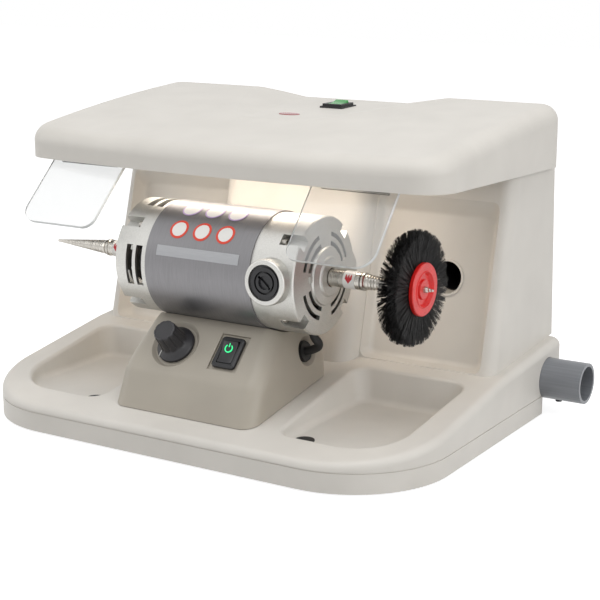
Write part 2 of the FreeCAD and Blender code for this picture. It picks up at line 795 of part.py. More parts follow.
def make_rear_housing():
    outer = housing_block(0.0)
    panel = panel_tool(0.0)
    outer = outer.cut(panel).cut(mirrored(panel))
    hollow = housing_block(wall)
    limit = panel_tool(wall)
    hollow = hollow.cut(limit).cut(mirrored(limit))
    outer = outer.cut(hollow)
    outer = outer.cut(base_cover(0.0))

    # Rear opening for the service panel, and the seats of the suction ports
    rear = number("housing_rear")
    side = number("housing_top_width") / 2 - 34
    low = base_top(rear) + 14
    high = housing_top(rear) - 16
    opening = Part.makeBox(2 * side, 3 * wall, high - low, Vector(-side, rear - 2 * wall, low))
    outer = outer.cut(opening)
    for sign in (-1, 1):
        spot = Vector(sign * number("port_side"), port_axis_y() - 30, number("port_height"))
        hole = cylinder(number("duct_diameter") / 2 + number("plate_gap"), 60, spot, Vector(0, 1, 0))
        outer = outer.cut(hole)
    for x, y in hood_screw_places():
        outer = outer.cut(cylinder(number("screw_diameter") / 2 + 0.3, 40, Vector(x, y, 280), Vector(0, 0, 1)))
    for x, z in back_screw_places():
        outer = outer.cut(cylinder(number("screw_diameter") / 2, 20, Vector(x, rear - 10, z), Vector(0, 1, 0)))
    return shaped("rear_housing", outer)


def bowed_outline(shrink, height):
    """Plan of the hood: a bowed front, tapering sides and rounded corners."""
    front = number("hood_front") - shrink
    rear = number("hood_rear") - shrink
    rear_half = number("hood_width") / 2 - shrink
    front_half = number("hood_front_width") / 2 - shrink
    bow = number("hood_bow")
    radius = number("hood_corner") - shrink
    rear_radius = number("hood_rear_corner") - shrink
    bow_radius = (front_half ** 2 + bow ** 2) / (2 * bow)
    bow_middle = Vector(0, bow_radius - front, 0)

    # Corner circle that touches the bow from inside and the side
    side_foot = Vector(front_half, bow - front, 0)
    side_head = Vector(rear_half, rear, 0)
    along = (side_head - side_foot).normalize()
    inward = Vector(-along.y, along.x, 0)
    offset = side_foot + inward * radius - bow_middle
    half_term = offset.dot(along)
    last_term = offset.dot(offset) - (bow_radius - radius) ** 2
    travel = -half_term - math.sqrt(half_term ** 2 - last_term)
    centre = side_foot + inward * radius + along * travel
    on_side = centre - inward * radius
    on_bow = bow_middle + (centre - bow_middle).normalize() * bow_radius
    near = centre + (on_side + on_bow - centre * 2).normalize() * radius

    # Rear corner
    turn = (along * -1).getAngle(Vector(-1, 0, 0))
    back = rear_radius / math.tan(turn / 2)
    side_end = side_head - along * back
    rear_end = side_head - Vector(back, 0, 0)
    rear_centre = rear_end - Vector(0, rear_radius, 0)
    rear_near = rear_centre + (side_head - rear_centre).normalize() * rear_radius

    def flip(spot):
        return Vector(-spot.x, spot.y, 0)

    wire = Part.Wire([
        Part.Arc(flip(on_bow), Vector(0, -front, 0), on_bow).toShape(),
        Part.Arc(on_bow, near, on_side).toShape(),
        Part.LineSegment(on_side, side_end).toShape(),
        Part.Arc(side_end, rear_near, rear_end).toShape(),
        Part.LineSegment(rear_end, flip(rear_end)).toShape(),
        Part.Arc(flip(rear_end), flip(rear_near), flip(side_end)).toShape(),
        Part.LineSegment(flip(side_end), flip(on_side)).toShape(),
        Part.Arc(flip(on_side), flip(near), flip(on_bow)).toShape(),
    ])
    wire.translate(Vector(0, 0, height))
    return wire


def hood_block(shrink):
    """The hood's outer form, or its hollow when shrunk by the wall, without the dip."""
    half = number("hood_width") / 2
    front = number("hood_front") - shrink
    rear = number("hood_rear") - shrink
    low = 280
    low_end = low - 30
    outer = Part.Face(bowed_outline(shrink, low)).extrude(Vector(0, 0, 140))

    # Side profile with a gently crowned top
    start = Vector(0, -front, number("hood_front_height") - shrink)
    mid = Vector(0, housing_front + 22, number("hood_mid_height") - shrink)
    back = Vector(0, rear, number("hood_rear_height") - shrink)
    side_face = Part.Face(Part.Wire([
        Part.Arc(start, mid, back).toShape(),
        Part.LineSegment(back, Vector(0, rear, low_end)).toShape(),
        Part.LineSegment(Vector(0, rear, low_end), Vector(0, -front, low_end)).toShape(),
        Part.LineSegment(Vector(0, -front, low_end), start).toShape(),
    ]))
    side_face.translate(Vector(-half, 0, 0))
    outer = outer.common(side_face.extrude(Vector(2 * half, 0, 0)))

    def at_top_rim(edge, middle):
        return middle.z > 322 and edge.BoundBox.ZLength < 60 and edge.Length > 2

    return outer.makeFillet(number("hood_rounding") - shrink, edges_where(outer, at_top_rim))


def hood_dip(shrink):
    """The dip in the hood's top that fades out towards the front."""
    rear_z = number("hood_rear_height") - shrink
    rear_y = number("hood_rear")
    slope = (number("dip_half_open") - number("dip_half_width")) / number("dip_depth")
    length = number("dip_length")
    apex_y = rear_y - length
    apex_z = rear_z - 0.085 * length
    lift = 30.0
    floor_half = number("dip_half_width")
    floor_z = rear_z - number("dip_depth")
    apex_half = floor_half * 0.55
    beyond = rear_y + 5

    def section(side, y, z):
        return wire_of([
            Vector(-side, y, z),
            Vector(side, y, z),
            Vector(side + slope * lift, y, z + lift),
            Vector(-side - slope * lift, y, z + lift),
        ])

    return Part.makeLoft([section(apex_half, apex_y, apex_z), section(floor_half, beyond, floor_z)], True, True)


def make_hood():
    outer = hood_block(0.0).cut(hood_dip(0.0))
    inner = hood_block(wall).cut(hood_dip(wall))
    outer = outer.cut(inner)
    far = 400
    below = prism_x([(-far, 0), (far, 0), (far, hood_edge(far)), (-far, hood_edge(-far))], 400)
    outer = outer.cut(below)

    # Bosses for the screws, the lamp tray and the shield brackets
    for x, y, low, radius in hood_bosses():
        boss = cylinder(radius, 120, Vector(x, y, low), Vector(0, 0, 1))
        outer = outer.fuse(boss.common(inner))
    for x, y in hood_screw_places():
        hole = cylinder(number("screw_diameter") / 2, 14, Vector(x, y, housing_top(y) - 1), Vector(0, 0, 1))
        outer = outer.cut(hole)

    # Flat seats of the light switch and the badge
    wide = number("light_width")
    long = number("light_length")
    seat_z = number("light_seat")
    corner = Vector(number("light_side") - wide / 2, number("light_rear") - long / 2, seat_z)
    outer = outer.cut(Part.makeBox(wide + 1, long + 1, 20, corner - Vector(0.5, 0.5, 0)))
    outer = outer.cut(Part.makeBox(wide - 6, long - 6, 40, corner + Vector(3, 3, -20)))
    ellipse = Part.Ellipse(Vector(0, 0, 0), 14.3, 9.3).toShape()
    seat = Part.Face(Part.Wire([ellipse])).extrude(Vector(0, 0, 20))
    seat.translate(Vector(-5, number("badge_rear"), number("badge_seat")))
    outer = outer.cut(seat)
    return shaped("hood", outer)


# Control face of the pedestal: a frame with its normal out of the face

face_turn = 90 - number("face_angle")
face_foot = Vector(0, -number("face_low_front"), number("face_low_height"))
face_up = Vector(0, math.sin(math.radians(number("face_angle"))), math.cos(math.radians(number("face_angle"))))
face_out = Vector(0, -face_up.z, face_up.y)


def on_face(side, rise, out):
    return Vector(side, 0, 0) + face_foot + face_up * rise + face_out * out


def face_placement(side, rise, out):
    """Local +Z out of the control face, local +Y up the face."""
    return Placement(on_face(side, rise, out), Rotation(Vector(1, 0, 0), face_turn))


def pedestal_block(shrink, skirt):
    """The pedestal's outer form, or its hollow when shrunk by the wall."""
    front = number("pedestal_front") - shrink
    rear = -number("pedestal_rear") - shrink
    top = number("pedestal_top") - shrink
    low = number("face_low_height")
    low_front = -number("face_low_front") + shrink
    corner_z = low - shrink * 0.4
    top_front = low_front + (top - corner_z) * face_up.y / face_up.z
    front_foot_z = base_top(-number("pedestal_front"))
    front_lean = (low_front + front) / (corner_z - front_foot_z)
    bend = number("face_round") - shrink
    spots = [
        (-front - front_lean * (front_foot_z - skirt), skirt),
        (low_front, corner_z),
        (top_front, top),
        (rear - 11, top),
        (rear, top - 36),
        (rear, skirt),
    ]
    outline = rounded_outline(spots, [0, bend, bend, bend, bend + 4, 0], 0)
    turned_up = Placement(Vector(-140, 0, 0), Rotation(Vector(1, 1, 1), 120))
    outline.Placement = turned_up
    block_shape = Part.Face(outline).extrude(Vector(280, 0, 0))

    # Cross-section: steep below the bend, leaning in above it
    foot = number("pedestal_width") / 2 - shrink
    waist = number("waist_width") / 2 - shrink
    head = number("pedestal_top_width") / 2 - shrink
    waist_z = number("waist_height")
    low_step = (foot - waist) / (waist_z - front_foot_z)
    high_step = (waist - head) / (number("pedestal_top") - waist_z)
    above = 20
    skirt_half = foot + low_step * (front_foot_z - skirt)
    head_half = head - high_step * above
    head_z = number("pedestal_top") + above
    waist_bend = number("waist_round") - shrink
    section = rounded_outline([
        (-skirt_half, skirt), (skirt_half, skirt), (waist, waist_z),
        (head_half, head_z), (-head_half, head_z), (-waist, waist_z),
    ], [0, 0, waist_bend, 0, 0, waist_bend], 0)
    section.rotate(Vector(0, 0, 0), Vector(1, 0, 0), 90)
    section.translate(Vector(0, -300, 0))
    form = block_shape.common(Part.Face(section).extrude(Vector(0, 400, 0)))

    def at_side_rim(edge, middle):
        across = edge.BoundBox.XLength > 60
        return middle.z > skirt + 2 and not across and edge.Length > 0.5 and on_profile(middle)

    def on_profile(spot):
        return abs(outline_distance(spot, outline)) < 0.02

    return form.makeFillet(number("pedestal_corner") - shrink, edges_where(form, at_side_rim))


def outline_distance(spot, outline):
    """Distance of a spot from a side profile, seen along X."""
    flat = Part.Vertex(Vector(outline.BoundBox.XMin, spot.y, spot.z))
    return flat.distToShape(outline)[0]


def side_outward(sign):
    """Outward normal of the pedestal's upper side."""
    rise = number("pedestal_top") - number("waist_height")
    inset = (number("waist_width") - number("pedestal_top_width")) / 2
    return Vector(sign * rise, 0, inset).normalize()


def side_at(z):
    """Half width of the pedestal at a height above the bend of its sides."""
    rise = number("pedestal_top") - number("waist_height")
    inset = (number("waist_width") - number("pedestal_top_width")) / 2
    return number("waist_width") / 2 - inset * (z - number("waist_height")) / rise


def make_pedestal():
    outer = pedestal_block(0.0, 20)
    cradle = cylinder(sleeve_radius + number("cradle_gap"), 400, Vector(-200, motor_y, motor_z), Vector(1, 0, 0))
    outer = outer.cut(cradle)
    inner = pedestal_block(wall, 10)
    inner = inner.cut(cylinder(sleeve_radius + number("cradle_gap") + wall, 400,
                               Vector(-200, motor_y, motor_z), Vector(1, 0, 0)))

    # Dish and seat of the two controls
    rise = number("control_rise")
    dish = number("dish_diameter") / 2
    depth = number("dish_depth")
    knob = number("knob_side")
    dish_tool = Part.makeCone(dish - depth, dish + 1, depth + 1, on_face(knob, rise, -depth), face_out)
    backing = cylinder(dish + wall, depth + wall, on_face(knob, rise, -depth - wall), face_out)
    width = number("switch_width")
    length = number("switch_length")

    def face_box(side, wide, tall, low, high):
        box = Part.makeBox(wide, tall, high - low, Vector(-wide / 2, -tall / 2, low))
        box.Placement = face_placement(side, rise, 0)
        return box

    seat_depth = number("bezel_height")
    switch = number("switch_side")
    seat_tool = face_box(switch, width + 8, length + 8, -seat_depth, 5)
    seat_backing = face_box(switch, width + 16, length + 16, -seat_depth - wall, 0)
    inner = inner.cut(backing).cut(seat_backing)
    outer = outer.cut(dish_tool).cut(seat_tool)

    # Dish for the lead's grommet in the right side
    out = side_outward(1)
    grommet_z = number("grommet_height")
    spot = Vector(side_at(grommet_z), -number("grommet_front"), grommet_z)
    hole = number("grommet_hole") / 2
    side_dish = Part.makeCone(hole + 1, hole + 7, 6, spot - out * 5, out)
    side_backing = cylinder(hole + 7, 14, spot - out * 14, out)
    inner = inner.cut(side_backing)
    outer = outer.cut(side_dish)

    outer = outer.cut(inner)
    outer = outer.cut(base_cover(0.0))
    core = pedestal_block(number("seam_depth"), 10)
    outer = outer.cut(base_cover(number("seam_height")).cut(core))
    outer = outer.cut(cylinder(number("pot_shaft") / 2 + 1, 20, on_face(knob, rise, -14), face_out))
    outer = outer.cut(face_box(switch, width - 4, length - 4, -20, 0))
    outer = outer.cut(cylinder(hole, 30, spot - out * 16, out))
    for sign in (-1, 1):
        foot = Vector(sign * number("saddle_pitch") / 2, motor_y, motor_z - sleeve_radius - 20)
        outer = outer.cut(cylinder(number("saddle_bolt") / 2 + 0.3, 40, foot, Vector(0, 0, 1)))
    return shaped("pedestal", outer)


# Motor, turned about its own axis

def motor_part(label, corners):
    return turned(label, corners, 0, -D.motor_front, D.motor_height)


def side_name(sign, name):
    """A size of the left end bell, or of the right one when the sign is positive."""
    return number("right_" + name if sign > 0 else ("bell_" + name if name == "hub_length" else name))


def bell_end(sign):
    """End face of a bell from the middle of the motor."""
    return number("sleeve_length") / 2 + side_name(sign, "bell_length")


def nose(sign):
    """End of a bell's hub from the middle of the motor."""
    return bell_end(sign) + side_name(sign, "hub_length")


def bearing_start(sign):
    """Inner face of a bearing from the middle of the motor."""
    return nose(sign) - number("bell_wall") - 0.1 - number("bearing_width")


def bell_outside(sign):
    """Outer outline of an end bell from the sleeve to its nose: (place along the motor, radius)."""
    rim = number("sleeve_length") / 2
    outer = number("bell_diameter") / 2
    end = bell_end(sign)
    hub = number("bell_hub") / 2
    step = side_name(sign, "hub_length")
    return [
        (rim, outer),
        (end - 1.5, outer),
        (end, outer - 1.5),
        (end + step * 0.3, hub + 7),
        (end + step * 0.55, hub + 6),
        (end + step * 0.75, hub - 3),
        (nose(sign) - 1, hub - 4),
        (nose(sign), hub - 5.5),
    ]


def bell_inside(sign):
    """Inner outline of an end bell, from the nose back to the sleeve."""
    rim = number("sleeve_length") / 2
    outer = number("bell_diameter") / 2
    bell_wall = number("bell_wall")
    spigot = number("sleeve_diameter") / 2 - number("sleeve_wall") - number("seat_gap")
    end = bell_end(sign)
    hub = number("bell_hub") / 2
    bearing = number("bearing_diameter") / 2 + number("seat_gap")
    bore = number("tube_diameter") / 2 + 1
    pocket = bearing_start(sign) - 1
    return [
        (nose(sign), bore),
        (nose(sign) - bell_wall, bore),
        (nose(sign) - bell_wall, bearing),
        (pocket, bearing),
        (pocket, bearing + bell_wall),
        (end + side_name(sign, "hub_length") * 0.3 - bell_wall, hub + 3),
        (end - bell_wall, outer - 9),
        (end - bell_wall - 3, outer - bell_wall),
        (rim + 2, outer - bell_wall),
        (rim, spigot - bell_wall),
        (rim - number("spigot_length"), spigot - bell_wall),
        (rim - number("spigot_length"), spigot),
        (rim, spigot),
    ]


BOLT_ANGLES = (45, 135, 225, 315)


def lead_route():
    """Corners of the motor lead, from inside the right bell to the grommet."""
    out = side_outward(1)
    grommet_z = number("grommet_height")
    seat = Vector(side_at(grommet_z), -number("grommet_front"), grommet_z)
    below = motor_z - number("bell_diameter") / 2
    start_x = side_at(grommet_z) + 13
    start_y = -number("grommet_front") - 8
    return [
        Vector(start_x, start_y, below + 6),
        Vector(start_x, start_y, below - 9),
        seat + out * 20 + Vector(0, 0, 5),
        seat + out * 4,
        seat - out * 14,
    ]


def end_bell(label, sign):
    """An end bell with its cooling slots, bolt pockets and, on the right, the brush cap bosses."""
    outside = bell_outside(sign)
    wire = wire_of([Vector(x, r, 0) for x, r in outside + bell_inside(sign)])
    axis = Vector(1, 0, 0)
    bell = Part.Face(wire).revolve(Vector(0, 0, 0), axis, 360)
    rim = number("sleeve_length") / 2
    end = bell_end(sign)
    outer = number("bell_diameter") / 2
    bell_wall = number("bell_wall")
    closed = [Vector(x, r, 0) for x, r in outside] + [Vector(nose(sign), 0, 0), Vector(rim, 0, 0)]
    envelope = Part.Face(wire_of(closed)).revolve(Vector(0, 0, 0), axis, 360)

    if sign > 0:
        reach = number("cap_reach")
        side = number("cap_side")
        inner = cylinder(outer - bell_wall, 200, Vector(0, 0, 0), axis)
        for way in (-1, 1):
            direction = Vector(0, way, 0)
            boss = cylinder(number("cap_boss") / 2, reach - 40, Vector(side, way * 40, 0), direction)
            rim_edge = edges_where(boss, lambda edge, middle: abs(abs(middle.y) - reach) < 0.1)
            boss = boss.makeFillet(2.5, rim_edge).cut(inner)
            seat = cylinder(number("cap_diameter") / 2 + 0.3, 20,
                            Vector(side, way * (reach - number("cap_depth")), 0), direction)
            hole = cylinder(9, 40, Vector(side, way * 45, 0), direction)
            for tool in (boss, seat, hole):
                tool.rotate(Vector(0, 0, 0), axis, -number("brush_turn"))
            bell = bell.fuse(boss).cut(seat).cut(hole)

    # Slots along the rim, in pairs side by side
    slot_wide = number("slot_width")
    for place_along in ((rim + 11, rim + 24.5) if sign < 0 else ()):
        for angle in (0, 90, 180, 270):
            slot = Part.makeCylinder(outer + 5, slot_wide, Vector(place_along - slot_wide / 2, 0, 0), axis, 41)
            core = cylinder(outer - bell_wall - 4, slot_wide + 2,
                            Vector(place_along - slot_wide / 2 - 1, 0, 0), axis)
            slot = slot.cut(core)
            slot.rotate(Vector(0, 0, 0), axis, angle - 20.5)
            bell = bell.cut(slot)

    # Curved vents in the end face
    vent_half = number("vent_width") / 2
    for radius in (37, 47.5):
        for angle in (45, 135, 225, 315):
            vent = Part.makeCylinder(radius + vent_half, 40, Vector(end - 12, 0, 0), axis, 58)
            vent = vent.cut(cylinder(radius - vent_half, 42, Vector(end - 13, 0, 0), axis))
            vent.rotate(Vector(0, 0, 0), axis, angle - 29)
            bell = bell.cut(vent)

    # Bolt pockets, open at the end face, each in a lining
    long = number("pocket_length")
    wide = number("pocket_width")
    floor = number("pocket_floor")
    for angle in BOLT_ANGLES:
        lining = Part.makeBox(long + 3, wide + 6, 20, Vector(end - long - 3, -wide / 2 - 3, floor - 3))
        pocket = Part.makeBox(long + 5, wide, 20, Vector(end - long, -wide / 2, floor))
        for tool in (lining, pocket):
            tool.rotate(Vector(0, 0, 0), axis, angle)
        bell = bell.fuse(lining.common(envelope)).cut(pocket)
        hole = cylinder(number("bolt_diameter") / 2 + 0.3, long + 80, Vector(rim - 10, 0, number("bolt_circle")), axis)
        hole.rotate(Vector(0, 0, 0), axis, angle)
        bell = bell.cut(hole)
    if sign > 0:
        lug = Part.makeBox(6, 8, 7, Vector(end - 2, -37, -1))
        bell = bell.fuse(lug)
        start = lead_route()[0] - Vector(0, motor_y, motor_z)
        bell = bell.cut(cylinder(number("lead_diameter") / 2 + 0.3, 30, start + Vector(0, 0, 10), Vector(0, 0, -1)))
    if sign < 0:
        bell = bell.mirror(Vector(0, 0, 0), axis)
    return shaped(label, bell, motor_frame())


def make_motor_sleeve():
    half = D.sleeve_length / 2
    outer = D.sleeve_diameter / 2
    inner = outer - D.sleeve_wall
    tube = turned_body("sleeve_tube", [(-half, inner), (half, inner), (half, outer), (-half, outer)],
                       0, -D.motor_front, D.motor_height)
    holes = []
    for sign in (-1, 1):
        holes.append(rod("sleeve_hole", D.saddle_bolt / 2 + D.plate_gap / 2, 30,
                         D.saddle_pitch / 2 * sign, -D.motor_front, D.motor_height - outer - 15))
    keep(cut("motor_sleeve", tube, joined("sleeve_holes", holes)), "motor_sleeve")


def make_magnets():
    outer = sleeve_radius - number("sleeve_wall") - 0.3
    inner = outer - number("magnet_thickness")
    length = number("magnet_length")
    span = number("magnet_span")
    pieces = []
    for middle in (90, 270):
        arc = Part.makeCylinder(outer, length, Vector(-length / 2, 0, 0), Vector(1, 0, 0), span)
        arc = arc.cut(cylinder(inner, length + 2, Vector(-length / 2 - 1, 0, 0), Vector(1, 0, 0)))
        arc.rotate(Vector(0, 0, 0), Vector(1, 0, 0), middle - span / 2)
        pieces.append(arc)
    shaped("field_magnets", Part.makeCompound(pieces), motor_frame())


def motor_frame():
    return Placement(Vector(0, motor_y, motor_z), Rotation())


def armature_radius():
    return sleeve_radius - number("sleeve_wall") - 0.3 - number("magnet_thickness") - number("air_gap")


def make_armature():
    radius = armature_radius()
    length = number("armature_length")
    core = cylinder(radius, length, Vector(-length / 2, 0, 0), Vector(1, 0, 0))
    core = core.cut(cylinder(number("shaft_core") / 2 + number("seat_gap"), length + 2,
                             Vector(-length / 2 - 1, 0, 0), Vector(1, 0, 0)))
    slots = 16
    for i in range(slots):
        slot = Part.makeBox(length + 2, 4, 14, Vector(-length / 2 - 1, -2, radius - 13))
        slot.rotate(Vector(0, 0, 0), Vector(1, 0, 0), 360 * i / slots)
        core = core.cut(slot)
    shaped("armature_core", core, motor_frame())
    rings = []
    for sign in (-1, 1):
        start = length / 2 + 0.2 if sign > 0 else -length / 2 - 0.2
        ring = cylinder(radius - 3, number("winding_length"), Vector(start, 0, 0), Vector(sign, 0, 0))
        ring = ring.makeFillet(5, edges_where(ring, lambda edge, middle: abs(middle.x) > length / 2 + 3
                                              and edge.BoundBox.XLength < 0.1))
        ring = ring.cut(cylinder(number("shaft_core") / 2 + number("seat_gap"), 60, Vector(start, 0, 0),
                                 Vector(sign, 0, 0)))
        rings.append(ring)
    shaped("armature_windings", Part.makeCompound(rings), motor_frame())


def make_rotor_parts():
    core = D.shaft_core / 2
    end = D.shaft_diameter / 2
    right_step = bearing_start(1) - 0.5
    left_step = 0.5 - bearing_start(-1)
    motor_part("motor_shaft", [
        (-D.shaft_end, 0), (D.shaft_end, 0), (D.shaft_end, end), (right_step, end), (right_step, core),
        (left_step, core), (left_step, end), (-D.shaft_end, end),
    ])
    bore = core + D.seat_gap
    start = D.cap_side - D.commutator_length / 2
    stop = D.cap_side + D.commutator_length / 2
    radius = D.commutator_diameter / 2
    motor_part("commutator", [(start, bore), (stop, bore), (stop, radius), (start + 4, radius),
                              (start + 4, radius + 3), (start, radius + 3)])

    # Fan: hub, back plate and blades
    fan_x = -number("sleeve_length") / 2 - 22
    fan_radius = number("fan_diameter") / 2
    fan = cylinder(14, 16, Vector(fan_x, 0, 0), Vector(1, 0, 0))
    fan = fan.fuse(cylinder(fan_radius, 2, Vector(fan_x, 0, 0), Vector(1, 0, 0)))
    for i in range(FAN_BLADES):
        blade = Part.makeBox(14, 2, fan_radius - 12, Vector(fan_x, -1, 11))
        blade.rotate(Vector(0, 0, 0), Vector(1, 0, 0), 360 * i / FAN_BLADES)
        fan = fan.fuse(blade)
    fan = fan.cut(cylinder(float(bore), 30, Vector(fan_x - 5, 0, 0), Vector(1, 0, 0)))
    shaped("cooling_fan", fan, motor_frame())

    # Bearings, each in its end bell
    races = []
    for sign in (-1, 1):
        start_x = sign * bearing_start(sign)
        race = cylinder(number("bearing_diameter") / 2, number("bearing_width"), Vector(start_x, 0, 0),
                        Vector(sign, 0, 0))
        race = race.cut(cylinder(number("shaft_diameter") / 2 + number("running_gap"), 40,
                                 Vector(start_x - 20, 0, 0), Vector(1, 0, 0)))
        races.append(race)
    shaped("bearings", Part.makeCompound(races), motor_frame())


FAN_BLADES = 9


def make_brush_gear():
    """Carbon brushes, their holders and the slotted caps, front and rear."""
    side = number("cap_side")
    width = number("carbon_width")
    contact = number("commutator_diameter") / 2 + 0.1
    reach = number("cap_reach")
    cap_back = reach - number("cap_depth")
    cap = number("cap_diameter") / 2
    carbons = []
    holders = []
    caps = []
    for way in (-1, 1):
        direction = Vector(0, way, 0)

        def disc(radius, low, high):
            return cylinder(radius, high - low, Vector(side, way * low, 0), direction)

        low = min(way * contact, way * (contact + 22))
        carbons.append(Part.makeBox(width, 22, width, Vector(side - width / 2, low, -width / 2)))
        holder_start = contact + 6
        holder = disc(8.7, holder_start, cap_back - 0.2)
        opening = width + 0.2
        low = min(way * (holder_start - 1), way * (cap_back + 1))
        holder = holder.cut(Part.makeBox(opening, cap_back - holder_start + 2, opening,
                                         Vector(side - opening / 2, low, -opening / 2)))
        holders.append(holder)
        body = disc(cap, cap_back, reach - 2.5).fuse(disc(cap - 2.8, cap_back, reach - 0.8))
        body = body.cut(disc(cap - 7, reach - 4, reach).cut(disc(cap - 9, reach - 4, reach)))
        body = body.cut(disc(cap - 12.5, reach - 3.2, reach))
        low = min(way * (reach - 5.5), way * reach)
        slot = Part.makeBox(2 * (cap - 10), 5.5, 3, Vector(side - cap + 10, low, -1.5))
        slot.rotate(Vector(side, 0, 0), Vector(0, 1, 0), 40)
        caps.append(body.cut(slot))
    for label, pieces in (("carbon_brushes", carbons), ("brush_holders", holders), ("brush_caps", caps)):
        group = Part.makeCompound(pieces)
        group.rotate(Vector(0, 0, 0), Vector(1, 0, 0), -number("brush_turn"))
        shaped(label, Part.makeCompound(group.Solids), motor_frame())


def make_through_bolts():
    circle = number("bolt_circle")
    left = bell_end(-1) - number("pocket_length")
    right = bell_end(1) - number("pocket_length")
    bolts = []
    for angle in BOLT_ANGLES:
        bolt = cylinder(number("bolt_diameter") / 2, left + right + 2, Vector(-left - 1, 0, circle), Vector(1, 0, 0))
        for place_along, sign in ((-left, -1), (right, 1)):
            head = cylinder(4.6, 5.5, Vector(place_along + sign * 0.1, 0, circle), Vector(sign, 0, 0))
            socket = cylinder(2.4, 3, Vector(place_along + sign * 3, 0, circle), Vector(sign, 0, 0))
            bolt = bolt.fuse(head.cut(socket))
        bolt.rotate(Vector(0, 0, 0), Vector(1, 0, 0), angle)
        bolts.append(bolt)
    shaped("through_bolts", Part.makeCompound(bolts), motor_frame())


def sleeve_label(x_low, x_high, angle_low, angle_high, thickness):
    """A thin curved plate on the sleeve; angles run from the top towards the front."""
    shell = Part.makeCylinder(sleeve_radius + 0.02 + thickness, x_high - x_low, Vector(x_low, 0, 0),
                              Vector(1, 0, 0), angle_high - angle_low)
    shell = shell.cut(cylinder(sleeve_radius + 0.02, x_high - x_low + 2, Vector(x_low - 1, 0, 0), Vector(1, 0, 0)))
    shell.rotate(Vector(0, 0, 0), Vector(1, 0, 0), angle_low)
    return shell


def make_labels():
    thickness = number("label_thickness")
    half = number("plate_length") / 2
    plate = sleeve_label(-half, half, number("plate_angle") - 5, number("plate_angle") + 5, thickness)
    shaped("rating_plate", plate, motor_frame())
    discs = []
    for angle in (number("lower_disc_angle"), number("upper_disc_angle")):
        for step in (-1, 0, 1):
            x = step * number("disc_pitch") - 2
            disc = sleeve_label(x - 15, x + 15, angle - 16, angle + 16, thickness)
            turn = math.radians(angle)
            stamp = cylinder(number("disc_diameter") / 2, 40, Vector(x, 0, 0) + Vector(0, -math.sin(turn),
                             math.cos(turn)) * (sleeve_radius - 20), Vector(0, -math.sin(turn), math.cos(turn)))
            discs.append(disc.common(stamp))
    shaped("label_discs", Part.makeCompound(discs), motor_frame())


# Rotor outside the motor

def spindle_radius(x):
    """Radius of the right spindle's taper at a place along it."""
    start = spindle_start(1)
    slope = (D.spindle_root / 2 - D.spindle_end / 2) / (D.hub_face - start)
    return D.spindle_root / 2 - slope * (x - start)


def spindle_start(sign):
    return nose_size(sign) + D.tube_length + D.collar_length


def nose_size(sign):
    """End of a bell's hub, as a size of the sheet."""
    if sign > 0:
        return D.sleeve_length / 2 + D.right_bell_length + D.right_hub_length
    return D.sleeve_length / 2 + D.bell_length + D.bell_hub_length


def make_shaft_ends():
    inner = D.shaft_diameter / 2 + D.seat_gap
    outer = D.tube_diameter / 2
    tubes = []
    bands = []
    for sign in (-1, 1):
        face = nose_size(sign)
        low = face + 0.5 if sign > 0 else -face - D.tube_length
        tube = rod("tube_body", outer, D.tube_length - 0.5, low, -D.motor_front, D.motor_height, "X")
        bore = rod("tube_bore", inner, D.tube_length + 2, low - 1, -D.motor_front, D.motor_height, "X")
        tubes.append(cut("shaft_tube", tube, bore))
        band_low = face + D.band_start if sign > 0 else -face - D.band_start - D.band_length
        band = rod("band_body", outer + D.band_thickness, D.band_length, band_low, -D.motor_front,
                   D.motor_height, "X")
        core = rod("band_bore", outer + 0.01, D.band_length + 2, band_low - 1, -D.motor_front,
                   D.motor_height, "X")
        bands.append(cut("band_ring", band, core))
    grouped("shaft_sleeves", tubes)
    grouped("direction_bands", bands)


def make_spindles():
    wide = D.tube_diameter / 2 + 0.3
    shank = D.shaft_diameter / 2 + D.seat_gap - 0.01
    root = D.spindle_root / 2
    end = D.spindle_end / 2
    neck = nose_size(1) + D.tube_length + 0.2
    start = spindle_start(1)
    motor_part("right_spindle", [
        (D.shaft_end + 0.3, 0), (D.right_tip, 0), (D.right_tip, 1), (D.hub_face, end), (start, root),
        (start - 1.2, root), (start - 2, wide - 1), (start - 3, wide), (neck + 1, wide), (neck, wide - 1),
        (neck, shank), (D.shaft_end + 0.3, shank),
    ])
    neck = nose_size(-1) + D.tube_length + 0.2
    start = spindle_start(-1)
    motor_part("left_spindle", [
        (-D.shaft_end - 0.3, 0), (-D.shaft_end - 0.3, shank), (-neck, shank), (-neck, wide - 1), (-neck - 1, wide),
        (3 - start, wide), (2 - start, wide - 2.5), (0.5 - start, wide - 2.5), (-start, root),
        (-D.left_tip + 1.2, 1.7), (-D.left_tip, 0.9), (-D.left_tip, 0),
    ])


def make_brush():
    middle = D.brush_middle
    half = D.brush_root / 2
    disc = D.hub_diameter / 2
    core = D.brush_core / 2
    left = middle - half
    right = middle + half
    thick = D.hub_disc
    face = right + thick
    gap = D.seat_gap + 0.01
    motor_part("brush_hub", [
        (left - thick, spindle_radius(left - thick) + gap),
        (face - 0.6, spindle_radius(face - 0.6) + gap),
        (face - 0.6, 10.5), (face - 3, 11.5), (face - 3, 17), (face, 19), (face + 0.8, 19.4), (face + 0.8, 20.2),
        (face, 20.8), (face, disc - 0.8), (face - 0.8, disc), (right, disc), (right, core), (left, core),
        (left, disc), (left - thick + 0.8, disc), (left - thick, disc - 0.8),
    ])
    tip = D.brush_diameter / 2
    rim = D.brush_rim / 2
    motor_part("brush_bristles", [
        (left + 0.1, core + 0.05), (right - 0.1, core + 0.05), (right - 0.1, disc + 1),
        (middle + rim - 0.6, disc + 8), (middle + rim, tip - 8), (middle + rim - 2.5, tip - 1.5),
        (middle + rim - 6, tip), (middle - rim + 6, tip), (middle - rim + 2.5, tip - 1.5),
        (middle - rim, tip - 8), (middle - rim + 0.6, disc + 8), (left + 0.1, disc + 1),
    ])


# Base fittings

